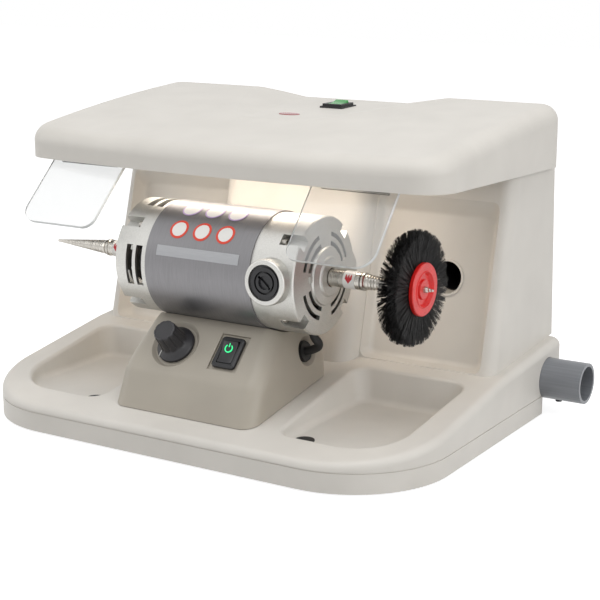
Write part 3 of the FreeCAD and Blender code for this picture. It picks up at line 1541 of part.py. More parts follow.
def make_base_plate():
    shrink = wall + number("plate_gap")
    low = number("foot_height")
    thick = number("plate_thickness")
    plate = plan(number("base_width") / 2 - shrink, base_front - shrink, number("bay_front") - shrink,
                 number("front_corner") - shrink, 3.0, low, low + thick)
    for x, y in boss_places():
        plate = plate.cut(cylinder(number("screw_diameter") / 2 + 0.3, 20, Vector(x, y, 0), Vector(0, 0, 1)))
    for x, y in foot_places():
        plate = plate.cut(cylinder(number("foot_stem") / 2, 20, Vector(x, y, 0), Vector(0, 0, 1)))
    shaped("base_plate", plate)


def make_feet():
    feet = []
    for x, y in foot_places():
        pad = rod("foot_pad", D.foot_diameter / 2, D.foot_height, x, y, 0)
        stem = rod("foot_stem", D.foot_stem / 2 - 0.05, D.foot_height + D.plate_thickness + 1, x, y, 0)
        barb = rod("foot_barb", D.foot_stem / 2 + 1.5, 1.5, x, y, D.foot_height + D.plate_thickness)
        feet.append(joined("foot", [pad, stem, barb]))
    grouped("rubber_feet", feet)


def screw_shape(spot, direction, length):
    """A screw with its head's seat at the spot; the direction runs along the shank."""
    shank = cylinder(number("screw_diameter") / 2 - 0.1, length, spot, direction)
    head = cylinder(number("screw_head") / 2, number("screw_head_height"), spot, direction * -1)
    cross = Part.makeBox(4.6, 0.9, 1.4, Vector(-2.3, -0.45, -number("screw_head_height") - 0.01))
    cross = cross.fuse(Part.makeBox(0.9, 4.6, 1.4, Vector(-0.45, -2.3, -number("screw_head_height") - 0.01)))
    cross.Placement = Placement(spot, Rotation(Vector(0, 0, 1), direction)).multiply(cross.Placement)
    return shank.fuse(head).cut(cross)


def back_screw_places():
    side = number("housing_top_width") / 2 - 34 + 4
    low = base_top(number("housing_rear")) + 14 - 4
    high = housing_top(number("housing_rear")) - 16 + 4
    places = []
    for x in (-side, 0, side):
        places.append((x, low))
        places.append((x, high))
    return places


def hood_screw_places():
    return [(-210, 200), (210, 200), (-210, 150), (210, 150)]


def make_case_screws():
    screws = []
    for x, y in boss_places():
        screws.append(screw_shape(Vector(x, y, number("foot_height")), Vector(0, 0, 1), 11))
    rear = number("housing_rear") + number("back_panel_wall")
    for x, z in back_screw_places():
        screws.append(screw_shape(Vector(x, rear, z), Vector(0, -1, 0), 7))
    for x, y in hood_screw_places():
        seat = housing_top(y) - wall
        screws.append(screw_shape(Vector(x, y, seat - 0.3), Vector(0, 0, 1), 12))
    below = number("pipe_height") - number("pipe_diameter") / 2
    screws.append(screw_shape(Vector(number("pipe_screw_side"), number("pipe_rear"), below), Vector(0, 0, 1), 2.5))
    shaped("case_screws", Part.makeCompound(screws))


# Suction side

def make_port_collars():
    z = number("port_height")
    radius = number("duct_diameter") / 2
    bore = number("port_bore") / 2
    collars = []
    for sign in (-1, 1):
        x = sign * number("port_side")
        y = port_axis_y()
        flange = cylinder(number("port_rim") / 2, 60, Vector(x, y - 30, z), Vector(0, 1, 0))
        depth = number("panel_depth")
        slab = prism_x([
            (front_at(80, depth - 1.6), 80), (front_at(80, depth), 80),
            (front_at(260, depth), 260), (front_at(260, depth - 1.6), 260),
        ], 400)
        flange = flange.common(slab)
        spigot = cylinder(radius, collar_end() - y + 5, Vector(x, y - 5, z), Vector(0, 1, 0))
        spigot = spigot.cut(prism_x([
            (-300, 0), (front_at(0, depth - 0.8), 0), (front_at(400, depth - 0.8), 400), (-300, 400)], 400))
        collar = flange.fuse(spigot)
        collars.append(collar.cut(cylinder(bore, 90, Vector(x, y - 40, z), Vector(0, 1, 0))))
    shaped("port_collars", Part.makeCompound(collars))


def collar_end():
    return port_axis_y() + 16


def make_ducts():
    radius = number("duct_diameter") / 2
    bore = radius - number("duct_wall")
    bend = number("duct_bend")
    z = number("port_height")
    y = number("pipe_rear")
    low = number("pipe_height") + number("tee_diameter") / 2 - 8
    ducts = []
    for sign in (-1, 1):
        x = sign * number("port_side")
        start = Vector(x, collar_end(), z)
        turn = Vector(x, y - bend, z)
        corner = Vector(x, y - bend + bend * math.sin(math.pi / 4), z - bend + bend * math.cos(math.pi / 4))
        drop = Vector(x, y, z - bend)
        path = Part.Wire([
            Part.LineSegment(start, turn).toShape(),
            Part.Arc(turn, corner, drop).toShape(),
            Part.LineSegment(drop, Vector(x, y, low)).toShape(),
        ])
        solids = []
        for size in (radius, bore):
            ring = Part.Wire([Part.makeCircle(size, start, Vector(0, 1, 0))])
            solids.append(path.makePipeShell([ring], True, False))
        ducts.append(solids[0].cut(solids[1]))
    shaped("suction_ducts", Part.makeCompound(ducts))


def make_tees():
    socket = number("pipe_diameter") / 2 + number("socket_gap")
    through = number("pipe_diameter") / 2 - number("pipe_wall") - 0.5
    outer = number("tee_diameter") / 2
    length = number("tee_length")
    depth = number("socket_depth")
    duct = number("duct_diameter") / 2 + number("socket_gap")
    y = number("pipe_rear")
    z = number("pipe_height")
    tees = []
    for sign in (-1, 1):
        x = sign * number("port_side")
        left = x - length / 2
        tee = cylinder(outer, length, Vector(left, y, z), Vector(1, 0, 0))
        tee = tee.fuse(cylinder(duct + 3, outer + 3, Vector(x, y, z), Vector(0, 0, 1)))
        tee = tee.cut(cylinder(through, length, Vector(left, y, z), Vector(1, 0, 0)))
        tee = tee.cut(cylinder(socket, depth, Vector(left, y, z), Vector(1, 0, 0)))
        tee = tee.cut(cylinder(socket, depth, Vector(left + length - depth, y, z), Vector(1, 0, 0)))
        tee = tee.cut(cylinder(duct - number("duct_wall"), 60, Vector(x, y, z), Vector(0, 0, 1)))
        tee = tee.cut(cylinder(duct, 60, Vector(x, y, z + outer - 8), Vector(0, 0, 1)))
        tees.append(tee)
    shaped("pipe_tees", Part.makeCompound(tees))


def make_pipes():
    radius = D.pipe_diameter / 2
    bore = radius - D.pipe_wall
    inner_end = D.port_side - D.tee_length / 2 + D.socket_depth
    outer_end = D.port_side + D.tee_length / 2 - D.socket_depth
    y = D.pipe_rear
    z = D.pipe_height
    turned("cross_pipe", [(-inner_end, bore), (inner_end, bore), (inner_end, radius), (-inner_end, radius)], 0, y, z)
    tube = turned_body("exhaust_tube", [
        (outer_end, bore), (D.pipe_end, bore), (D.pipe_end, radius), (outer_end, radius),
    ], 0, y, z)
    hole = rod("pipe_screw_hole", D.screw_diameter / 2, 4, D.pipe_screw_side, y, z - radius - 1)
    keep(cut("exhaust_pipe", tube, hole), "exhaust_pipe")
    stop = D.base_width / 2 + 3
    turned("blanking_plug", [
        (-outer_end, bore), (-outer_end, radius), (-stop, radius), (-stop, 0), (-stop + D.pipe_wall, 0),
        (-stop + D.pipe_wall, bore),
    ], 0, y, z)


def make_back_panel():
    rear = D.housing_rear
    side = number("housing_top_width") / 2 - 34 + 9
    low = base_top(number("housing_rear")) + 14 - 9
    high = housing_top(number("housing_rear")) - 16 + 9
    panel = Part.makeBox(2 * side, number("back_panel_wall"), high - low, Vector(-side, float(rear), low))
    for x, z in back_screw_places():
        panel = panel.cut(cylinder(number("screw_diameter") / 2 + 0.3, 20, Vector(x, float(rear) - 5, z),
                                   Vector(0, 1, 0)))
    for i in range(VENT_SLOTS):
        z = low + 60 + 9 * i
        panel = panel.cut(Part.makeBox(90, 20, 3.5, Vector(-45, float(rear) - 5, z)))
    inlet_x, inlet_z = inlet_place()
    panel = panel.cut(Part.makeBox(28, 20, 21, Vector(inlet_x - 14, float(rear) - 5, inlet_z - 10.5)))
    shaped("housing_back_panel", panel)


VENT_SLOTS = 9


def inlet_place():
    return -190.0, base_top(number("housing_rear")) + 46


def make_mains_inlet():
    x, z = inlet_place()
    rear = number("housing_rear") + number("back_panel_wall")
    flange = Part.makeBox(50, 2.5, 24, Vector(x - 25, rear, z - 12))
    body = Part.makeBox(27, 27, 20, Vector(x - 13.5, rear - 26, z - 10))
    inlet = flange.fuse(body)
    inlet = inlet.cut(Part.makeBox(24, 18, 16, Vector(x - 12, rear - 15, z - 8)))
    for pin_x, pin_z in ((-7, -2), (0, 2), (7, -2)):
        inlet = inlet.fuse(Part.makeBox(2, 10, 4, Vector(x + pin_x - 1, rear - 16, z + pin_z - 2)))
    shaped("mains_inlet", inlet)


# Lamp, hood fittings

def shield_middle(sign):
    """Middle of the left shield, or of the right one when the sign is positive."""
    return number("right_shield_side") if sign > 0 else -number("shield_side")


def hood_bosses():
    """Places (x, y, lower end, radius) of the bosses inside the hood."""
    places = [(x, y, housing_top(y) + 0.4, 7) for x, y in hood_screw_places()]
    for sign in (-1, 1):
        places.append((sign * 110, -number("lamp_front"), number("lamp_height") + 14, 7))
        for step in (-34, 34):
            places.append((shield_middle(sign) + step, -number("hinge_front") + 3,
                           number("hinge_height") + 9, 5))
    return places


def make_lamp():
    length = D.lamp_length
    y = -D.lamp_front
    z = D.lamp_height
    outer = block("tray_outer_box", length + 32, 72, 26, -length / 2 - 16, y - 36, z - 12)
    inner = block("tray_inner_box", length + 29, 69, 26, -length / 2 - 14.5, y - 34.5, z - 13.5)
    keep(cut("lamp_tray", outer, inner), "lamp_tray")
    tube = rod("lamp_tube", D.lamp_diameter / 2, length, -length / 2, y, z, "X")
    keep(tube, "lamp_tube")
    holders = []
    for sign in (-1, 1):
        low = length / 2 + 0.1 if sign > 0 else -length / 2 - 12.1
        holders.append(block("lamp_holder", 12, 24, 20, low, y - 12, z - 7.5))
    grouped("lamp_holders", holders)
    keep(block("lamp_diffuser", length + 28.4, 68.4, 2, -length / 2 - 14.2, y - 34.2, z - 12), "lamp_diffuser")


def make_light_switch():
    x = D.light_side
    y = D.light_rear
    z = D.light_seat
    step = D.light_step

    def layer(name, inset, low, height):
        return block(name, D.light_width - 2 * inset, D.light_length - 2 * inset, height,
                     x - D.light_width / 2 + inset, y - D.light_length / 2 + inset, z + low)

    body = joined("light_body", [
        layer("light_flange", 0, 0, step),
        layer("light_frame", 2.5, step, step),
        layer("light_neck", 3.5, -18, 19),
    ])
    keep(cut("light_switch_body", body, layer("light_well", 6, step * 2 - 10, 20)), "light_switch_body")
    half = number("light_length") / 2 - 6.6
    width = number("light_width") - 12.6
    rocker = rocker_shape(half, width, 5.5, 3.5)
    rocker.rotate(Vector(0, 0, 0), Vector(1, 0, 0), number("rocker_tilt"))
    lift = 2 * number("light_step") - 1.5
    shaped("light_rocker", rocker, Placement(Vector(float(x), float(y), float(z) + lift), Rotation()))


def rocker_shape(half, width, depth, rise):
    """A rocker about a line along X through its origin: peaked top, its ends below the bezel."""
    profile = [
        Vector(-width / 2, -half + 1.2, -depth), Vector(-width / 2, half - 1.2, -depth),
        Vector(-width / 2, half, rise - 2), Vector(-width / 2, half - 1.5, rise),
        Vector(-width / 2, 0, rise - 1.2), Vector(-width / 2, -half + 1.5, rise), Vector(-width / 2, -half, rise - 2),
    ]
    return Part.Face(wire_of(profile)).extrude(Vector(width, 0, 0))


def make_badge():
    z = number("badge_seat")
    ellipse = Part.Ellipse(Vector(0, 0, 0), 14, 9).toShape()
    badge = Part.Face(Part.Wire([ellipse])).extrude(Vector(0, 0, 1.6))
    badge.translate(Vector(-5, number("badge_rear"), z))
    shaped("badge", badge)


# Shields

def make_shield_set():
    pin_radius = number("pin_diameter") / 2
    y = -number("hinge_front")
    z = number("hinge_height")
    brackets = []
    pins = []
    for sign in (-1, 1):
        x = shield_middle(sign)
        plate = Part.makeBox(92, 18, 3, Vector(x - 46, y - 6, z + 6))
        for ear_x in (x - 46, x + 43):
            ear = cylinder(5.4, 3, Vector(ear_x, y, z), Vector(1, 0, 0))
            ear = ear.fuse(Part.makeBox(3, 10.8, 7, Vector(ear_x, y - 5.4, z)))
            plate = plate.fuse(ear)
        plate = plate.cut(cylinder(pin_radius + 0.05, 120, Vector(x - 60, y, z), Vector(1, 0, 0)))
        brackets.append(plate)
        pins.append(cylinder(pin_radius, 96, Vector(x - 48, y, z), Vector(1, 0, 0)))
    shaped("shield_brackets", Part.makeCompound(brackets))
    shaped("shield_pins", Part.makeCompound(pins))
    for label, sign in (("left", -1), ("right", 1)):
        tilt = number(label + "_shield_tilt")
        frame = Placement(Vector(shield_middle(sign), y, z), Rotation(Vector(1, 0, 0), -tilt))
        sheet_half = number("shield_sheet") / 2
        half = number("shield_width") / 2
        corner = number("shield_corner")
        spots = [(-half, -number("shield_length")), (half, -number("shield_length")), (half, -6), (-half, -6)]
        inner_corner = number("shield_inner_corner")
        low_corners = [inner_corner, corner] if sign > 0 else [corner, inner_corner]
        outline = rounded_outline(spots, low_corners + [3, 3], 0)
        outline.rotate(Vector(0, 0, 0), Vector(1, 0, 0), 90)
        outline.translate(Vector(0, sheet_half, 0))
        sheet_shape = Part.Face(outline).extrude(Vector(0, -2 * sheet_half, 0))
        shaped(label + "_shield", sheet_shape, frame)
        knuckle = cylinder(pin_radius + 2, 84, Vector(-42, 0, 0), Vector(1, 0, 0))
        jaw = Part.makeBox(84, 2 * sheet_half + 4, 18, Vector(-42, -sheet_half - 2, -18))
        clamp = knuckle.fuse(jaw)
        clamp = clamp.cut(Part.makeBox(90, 2 * sheet_half + 0.04, 14, Vector(-45, -sheet_half - 0.02, -19.9)))
        clamp = clamp.cut(cylinder(pin_radius + number("running_gap"), 90, Vector(-45, 0, 0), Vector(1, 0, 0)))
        shaped(label + "_shield_clamp", clamp, frame)


# Controls

def make_speed_control():
    rise = number("control_rise")
    side = number("knob_side")
    depth = number("dish_depth")
    shaft = number("pot_shaft") / 2
    skirt = number("knob_skirt") / 2
    grip = number("knob_grip") / 2
    height = number("knob_height")
    back = -depth - wall
    body = cylinder(number("pot_body") / 2, 11, Vector(0, 0, back - 11), Vector(0, 0, 1))
    body = body.fuse(cylinder(shaft + 0.9, wall + 1, Vector(0, 0, back - 0.5), Vector(0, 0, 1)))
    body = body.cut(cylinder(shaft + number("running_gap"), 40, Vector(0, 0, back - 9), Vector(0, 0, 1)))
    shaped("speed_potentiometer", body, face_placement(side, rise, 0))
    spindle = cylinder(shaft, depth + wall + 6 + 14, Vector(0, 0, back - 6), Vector(0, 0, 1))
    shaped("potentiometer_shaft", spindle, face_placement(side, rise, 0))

    bottom = -depth + number("knob_gap")
    knob = cylinder(skirt, 3, Vector(0, 0, bottom), Vector(0, 0, 1))
    knob = knob.fuse(Part.makeCone(skirt, grip + 5, 5, Vector(0, 0, bottom + 3), Vector(0, 0, 1)))
    knob = knob.fuse(Part.makeCone(grip + 2, grip, height - 8, Vector(0, 0, bottom + 8), Vector(0, 0, 1)))
    for i in range(KNOB_FLUTES):
        turn = 2 * math.pi * i / KNOB_FLUTES
        around = Vector(math.cos(turn), math.sin(turn), 0)
        flute = cylinder(1.6, height, around * (grip + 2.2) + Vector(0, 0, bottom + 9), Vector(0, 0, 1))
        knob = knob.cut(flute)
    knob = knob.cut(cylinder(shaft + number("seat_gap"), depth + wall + 6 + 8.2, Vector(0, 0, back), Vector(0, 0, 1)))
    pointer = Part.makeBox(1.4, skirt, 4, Vector(-0.7, grip + 3, bottom + 3.4))
    knob = knob.cut(pointer)
    turn = Placement(Vector(0, 0, 0), Rotation(Vector(0, 0, 1), number("knob_rest")))
    shaped("speed_knob", knob, face_placement(side, rise, 0).multiply(turn))


KNOB_FLUTES = 14


def make_power_switch():
    rise = number("control_rise")
    side = number("switch_side")
    width = number("switch_width")
    length = number("switch_length")
    seat = -number("bezel_height")
    depth = number("switch_depth")
    flange = Part.makeBox(width, length, 5, Vector(-width / 2, -length / 2, seat))
    flange = flange.makeFillet(2.5, edges_where(flange, lambda edge, middle: edge.BoundBox.ZLength > 4))
    body = Part.makeBox(width - 5, length - 5, depth, Vector(-width / 2 + 2.5, -length / 2 + 2.5, seat - depth))
    switch = flange.fuse(body)
    rocker_width = number("rocker_width")
    rocker_length = number("rocker_length")
    switch = switch.cut(Part.makeBox(rocker_width + 0.6, rocker_length + 1, 20,
                                     Vector(-rocker_width / 2 - 0.3, -rocker_length / 2 - 0.5, seat - 8)))
    shaped("power_switch_body", switch, face_placement(side, rise, 0))
    rocker = rocker_shape(rocker_length / 2, rocker_width, 5.5, 3.5)
    rocker.rotate(Vector(0, 0, 0), Vector(1, 0, 0), number("rocker_tilt"))
    shaped("power_rocker", rocker, face_placement(side, rise, 5 + seat - 1.5))


def make_lead():
    """The motor lead, its grommet and the rubber plugs of the tray holes."""
    radius = number("lead_diameter") / 2
    spots = lead_route()
    edges = []
    last = spots[0]
    for i in range(1, len(spots) - 1):
        corner = spots[i]
        to_last = spots[i - 1] - corner
        to_next = spots[i + 1] - corner
        turn = math.pi - to_last.getAngle(to_next)
        bend = 0.45 * min(to_last.Length, to_next.Length) / math.tan(turn / 2)
        back = bend * math.tan(turn / 2)
        start = corner + to_last.normalize() * back
        stop = corner + to_next.normalize() * back
        inward = (to_last + to_next).normalize()
        middle = corner + inward * (bend / math.cos(turn / 2) - bend)
        edges.append(Part.LineSegment(last, start).toShape())
        edges.append(Part.Arc(start, middle, stop).toShape())
        last = stop
    edges.append(Part.LineSegment(last, spots[-1]).toShape())
    path = Part.Wire(edges)
    ring = Part.Wire([Part.makeCircle(radius, spots[0], (spots[1] - spots[0]).normalize())])
    lead = path.makePipeShell([ring], True, False)
    shaped("motor_lead", lead)

    out = side_outward(1)
    hole = number("grommet_hole") / 2
    seat = spots[-1] + out * 14
    grommet = cylinder(hole - 0.3, wall + 6, seat - out * 11, out)
    grommet = grommet.fuse(cylinder(hole + 0.8, 1.6, seat - out * 4.9, out))
    grommet = grommet.cut(cylinder(radius + 0.3, 40, seat - out * 20, out))

    # Plugs in the tray holes
    pieces = [grommet]
    floor = number("tray_floor")
    stem = number("drain_diameter") / 2
    for sign in (-1, 1):
        foot = Vector(sign * number("drain_side"), -number("drain_front"), floor - wall - 2)
        plug = cylinder(stem - 0.1, wall + 2, foot, Vector(0, 0, 1))
        plug = plug.fuse(Part.makeCone(stem - 0.6, stem + 1, 1.9, foot, Vector(0, 0, 1)))
        head = cylinder(number("plug_flange") / 2, number("plug_head"), foot + Vector(0, 0, wall + 2), Vector(0, 0, 1))
        pieces.append(plug.fuse(head))
    shaped("rubber_grommets", Part.makeCompound(pieces))


def make_saddle():
    """A curved plate under the cradle, with two bolts up into the motor sleeve."""
    top = sleeve_radius + number("cradle_gap") + wall + 0.02
    thick = number("saddle_plate")
    length = number("saddle_pitch") + 24
    saddle = cylinder(top + thick, length, Vector(-length / 2, motor_y, motor_z), Vector(1, 0, 0))
    saddle = saddle.cut(cylinder(top, length + 2, Vector(-length / 2 - 1, motor_y, motor_z), Vector(1, 0, 0)))
    keep_box = Part.makeBox(length, 50, 60, Vector(-length / 2, motor_y - 25, motor_z - top - 20))
    saddle = saddle.common(keep_box)
    bolts = []
    for sign in (-1, 1):
        x = sign * number("saddle_pitch") / 2
        radius = number("saddle_bolt") / 2
        spot = Vector(x, motor_y, motor_z - top - thick)
        saddle = saddle.cut(cylinder(radius + 0.3, 30, spot - Vector(0, 0, 10), Vector(0, 0, 1)))
        bolt = cylinder(radius, top + thick - sleeve_radius + 6, spot, Vector(0, 0, 1))
        bolt = bolt.fuse(cylinder(5, 4, spot, Vector(0, 0, -1)))
        bolts.append(bolt)
    shaped("motor_saddle", saddle)
    shaped("saddle_bolts", Part.makeCompound(bolts))


def make_board():
    low = number("foot_height") + number("plate_thickness")
    board = Part.makeBox(110, 66, 1.6, Vector(-55, -135, low + 8))
    for x, y in ((-50, -130), (50, -130), (50, -74), (-50, -74)):
        board = board.fuse(cylinder(3, 8, Vector(x, y, low), Vector(0, 0, 1)))
    board = board.fuse(Part.makeBox(40, 12, 16, Vector(-45, -90, low + 9.6)))
    board = board.fuse(cylinder(8, 16, Vector(20, -100, low + 9.6), Vector(0, 0, 1)))
    board = board.fuse(Part.makeBox(16, 12, 10, Vector(30, -128, low + 9.6)))
    shaped("speed_board", board)


def build():
    make_base_shell()
    make_rear_housing()
    make_hood()
    make_pedestal()
    make_motor_sleeve()
    end_bell("left_end_bell", -1)
    end_bell("right_end_bell", 1)
    make_magnets()
    make_armature()
    make_rotor_parts()
    make_brush_gear()
    make_through_bolts()
    make_labels()
    make_shaft_ends()
    make_spindles()
    make_brush()
    make_base_plate()
    make_feet()
    make_case_screws()
    make_port_collars()
    make_ducts()
    make_tees()
    make_pipes()
    make_back_panel()
    make_mains_inlet()
    make_lamp()
    make_light_switch()
    make_badge()
    make_shield_set()
    make_speed_control()
    make_power_switch()
    make_lead()
    make_saddle()
    make_board()


def check():
    doc.recompute()
    faults = []
    for obj in doc.Objects:
        if "Invalid" in obj.State or "Error" in obj.State:
            faults.append(obj.Label)
    for label, part in parts.items():
        shape = part.Shape
        if shape.isNull() or not shape.isValid() or shape.Volume <= 0:
            faults.append(label)
    if faults:
        raise RuntimeError("failed: " + ", ".join(faults))


build()
check()
os.makedirs("parts", exist_ok=True)
for label, part in parts.items():
    part.Shape.exportStep("parts/%s.step" % label)
print(len(parts), "sub-parts")
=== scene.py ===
# %% [markdown]
# # Dental polishing lathe, dressed
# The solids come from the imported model. This notebook gives each one its finish, and rebuilds
# the pieces whose looks need more than a machined solid: the bristles, the knob, the rockers
# and the threads.

# %% The frame
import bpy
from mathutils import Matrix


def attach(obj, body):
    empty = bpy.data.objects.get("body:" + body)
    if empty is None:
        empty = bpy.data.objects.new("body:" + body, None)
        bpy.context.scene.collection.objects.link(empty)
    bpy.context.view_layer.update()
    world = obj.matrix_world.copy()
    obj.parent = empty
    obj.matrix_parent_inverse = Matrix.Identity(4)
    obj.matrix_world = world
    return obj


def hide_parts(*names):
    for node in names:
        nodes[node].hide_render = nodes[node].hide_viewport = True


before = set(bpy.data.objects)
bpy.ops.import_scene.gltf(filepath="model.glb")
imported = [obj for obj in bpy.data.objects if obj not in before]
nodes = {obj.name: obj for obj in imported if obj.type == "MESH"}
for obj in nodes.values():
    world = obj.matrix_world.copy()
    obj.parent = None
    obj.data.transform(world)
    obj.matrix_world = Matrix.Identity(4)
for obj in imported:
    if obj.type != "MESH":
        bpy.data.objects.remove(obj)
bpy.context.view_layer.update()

# %% [markdown]
# ## Tools and units
# The frame is in metres. Sizes below are written in millimetres, as on a workshop drawing, and
# multiplied by MM where they go into a mesh, so that they can be set against the real machine.

# %% Tools
import math
import random

import bmesh
import bpy
from mathutils import Matrix, Vector

MM = 0.001

# %% [markdown]
# ## Camera
# The picture was taken from the operator's right, a little above the hood, with a long lens. A
# camera can be placed by eye, but one that is worked out from the straight edges of the base
# gives the same outlines, so its place, its direction and its lens are written here as numbers.

# %% Camera
CAMERA_PLACE = (0.9766, -1.4888, 0.5723)
CAMERA_FORWARD = (-0.5123, 0.8259, -0.2352)
LENS_MM = 90.3
SENSOR_MM = 36
NEAREST_SEEN = 0.05


def make_camera():
    camera = bpy.data.objects.new("camera", bpy.data.cameras.new("camera"))
    bpy.context.scene.collection.objects.link(camera)
    forward = Vector(CAMERA_FORWARD).normalized()
    right = forward.cross(Vector((0, 0, 1))).normalized()
    up = right.cross(forward)
    turn = Matrix((right, up, -forward)).transposed()
    camera.matrix_world = Matrix.Translation(CAMERA_PLACE) @ turn.to_4x4()
    camera.data.lens = LENS_MM
    camera.data.sensor_width = SENSOR_MM
    camera.data.clip_start = NEAREST_SEEN
    bpy.context.scene.camera = camera


make_camera()
print("camera", CAMERA_PLACE, "lens", LENS_MM)

# %% [markdown]
# ## Building finishes from nodes
# A finish is a small tree of nodes. It could be drawn by hand in the node editor, but written
# down it can be read and repeated. One helper adds a node, sets it and links it, so that each
# finish is a short list. Colours are written as they look on a screen and turned to linear light.

# %% Helpers for finishes


def srgb(code, alpha=1.0):
    """A colour written as six hex digits, turned to linear light."""
    values = [int(code[i:i + 2], 16) / 255 for i in (0, 2, 4)]
    linear = [v / 12.92 if v <= 0.04045 else ((v + 0.055) / 1.055) ** 2.4 for v in values]
    return (*linear, alpha)


def add_node(tree, kind, inputs=None, **settings):
    """Adds a node, sets its options, and fills its inputs with values or links."""
    node = tree.nodes.new(kind)
    for key, value in settings.items():
        setattr(node, key, value)
    for key, value in (inputs or {}).items():
        if isinstance(value, bpy.types.NodeSocket):
            tree.links.new(value, node.inputs[key])
        else:
            node.inputs[key].default_value = value
    return node


def start_finish(name, roughness, metallic=0.0):
    """A new material; returns the material, its tree and its shader."""
    material = bpy.data.materials.new(name)
    material.use_nodes = True
    tree = material.node_tree
    shader = next(node for node in tree.nodes if node.type == "BSDF_PRINCIPLED")
    shader.inputs["Roughness"].default_value = roughness
    shader.inputs["Metallic"].default_value = metallic
    return material, tree, shader


def object_place(tree, middle_mm=(0, 0, 0), stretch=(1, 1, 1)):
    """The piece's own coordinates in metres, moved so that a place in mm becomes the middle."""
    place = add_node(tree, "ShaderNodeTexCoord").outputs["Object"]
    shift = [-value * MM * scale for value, scale in zip(middle_mm, stretch)]
    mapping = add_node(tree, "ShaderNodeMapping", {
        "Vector": place, "Location": shift, "Scale": stretch})
    return mapping.outputs["Vector"]


def grain(tree, place, size_mm, detail=2.0, roughness=0.5):
    """Noise whose grains are about size_mm across."""
    noise = add_node(tree, "ShaderNodeTexNoise", {
        "Vector": place, "Scale": 1 / (size_mm * MM), "Detail": detail, "Roughness": roughness})
    return noise.outputs["Fac"]


def spread(tree, value, low, high):
    """Carries noise, which lies round one half, over to the range low to high."""
    ramp = add_node(tree, "ShaderNodeMapRange", {
        "Value": value, "From Min": 0.3, "From Max": 0.7, "To Min": low, "To Max": high})
    return ramp.outputs["Result"]


def blend_colours(tree, amount, first, second):
    """The first colour where the amount is 0, the second where it is 1."""
    mix = add_node(tree, "ShaderNodeMix", {0: amount, 6: first, 7: second}, data_type="RGBA")
    return mix.outputs[2]


def relief(tree, height, depth_mm):
    """Light falls on the surface as if it rose and sank by the pattern's height."""
    bump = add_node(tree, "ShaderNodeBump", {
        "Height": height, "Distance": depth_mm * MM, "Strength": 1.0})
    return bump.outputs["Normal"]


def connect(tree, shader, **sockets):
    """Links a finish's colour, roughness and normal to its shader."""
    names = {"colour": "Base Color", "roughness": "Roughness", "normal": "Normal"}
    for key, socket in sockets.items():
        tree.links.new(socket, shader.inputs[names[key]])


print("helpers ready")

# %% [markdown]
# ## Moulded sheet
# The base, the housing and the hood are thick polystyrene sheet, drawn over a mould by vacuum.
# The sheet keeps a fine leathery grain that takes the shine off, so highlights are broad. A
# painted picture could carry it, but noise needs no picture and has no seams. The grain is noise
# about 0.9 mm across, and a slow noise over some centimetres gives the slightly uneven tone.

# %% Finishes of moulded plastic


def moulded(name, colour, shade, roughness, grain_mm=0.9, grain_depth=0.05, tone_mm=60):
    """Moulded plastic: a tone that wanders between two colours, and a fine grain."""
    material, tree, shader = start_finish(name, roughness)
    place = object_place(tree)
    tone = spread(tree, grain(tree, place, tone_mm), 0, 1)
    fine = grain(tree, place, grain_mm, 3)
    connect(tree, shader, colour=blend_colours(tree, tone, srgb(colour), srgb(shade)),
            roughness=spread(tree, fine, roughness - 0.06, roughness + 0.06),
            normal=relief(tree, fine, grain_depth))
    return material


SHELL = moulded("polystyrene_sheet_drawn", "D8D4CD", "D2CEC7", 0.5)
PEDESTAL = moulded("polystyrene_sheet_pedestal", "ADA699", "A69F93", 0.45)
PANEL = moulded("polystyrene_sheet_panel", "C9C6C0", "C3C0BA", 0.5)
BLACK_NYLON = moulded("nylon_black_moulded", "17171A", "1E1E21", 0.36, 0.6, 0.03, 20)
KNOB_ABS = moulded("abs_black_satin", "222124", "29282B", 0.42, 0.5, 0.03, 20)
RUBBER = moulded("rubber_black_moulded", "121212", "191919", 0.62, 0.5, 0.04, 15)
WHITE_NYLON = moulded("nylon_white_moulded", "DEDEDA", "D6D6D2", 0.4)
FAN_NYLON = moulded("nylon_fan_moulded", "1B1B1D", "222225", 0.45)
RED_NYLON = moulded("nylon_red_moulded", "E0201C", "D01A18", 0.3, 0.8, 0.06, 14)
print("finishes so far", len(bpy.data.materials))

# %% [markdown]
# ## Metals
# A metal takes its colour from its reflections. What tells the finishes apart is their relief:
# die cast aluminium is blasted and sparkles from pits under a millimetre, the sleeve is
# lacquered and shows faint rolling lines, and turned steel has rings round its axis left by the
# tool. One noise serves for all: as it is for pits, and squeezed along one direction for lines.

# %% Finishes of metal


def blasted(name, colour, shade, roughness, pit_mm=0.8, depth=0.12):
    """Cast and blasted metal: fine pits and a speckled brightness."""
    material, tree, shader = start_finish(name, roughness, 1.0)
    place = object_place(tree)
    pits = grain(tree, place, pit_mm, 4, 0.6)
    cloud = grain(tree, place, 18)
    speckle = spread(tree, pits, 0, 1)
    connect(tree, shader, colour=blend_colours(tree, speckle, srgb(shade), srgb(colour)),
            roughness=spread(tree, cloud, roughness - 0.07, roughness + 0.07),
            normal=relief(tree, pits, depth))
    return material


def lined(name, colour, shade, roughness, line_mm, stretch, depth=0.02, metallic=1.0,
          middle=(0, 0, 0)):
    """Metal with fine parallel lines: noise that is squeezed along one direction."""
    material, tree, shader = start_finish(name, roughness, metallic)
    place = object_place(tree, middle, stretch)
    lines = grain(tree, place, line_mm, 3, 0.6)
    streaks = spread(tree, lines, 0, 1)
    connect(tree, shader, colour=blend_colours(tree, streaks, srgb(colour), srgb(shade)),
            roughness=spread(tree, lines, roughness - 0.06, roughness + 0.08),
            normal=relief(tree, lines, depth))
    return material


MOTOR_Y = -70
MOTOR_Z = 200
MOTOR_MIDDLE = (0, MOTOR_Y, MOTOR_Z)

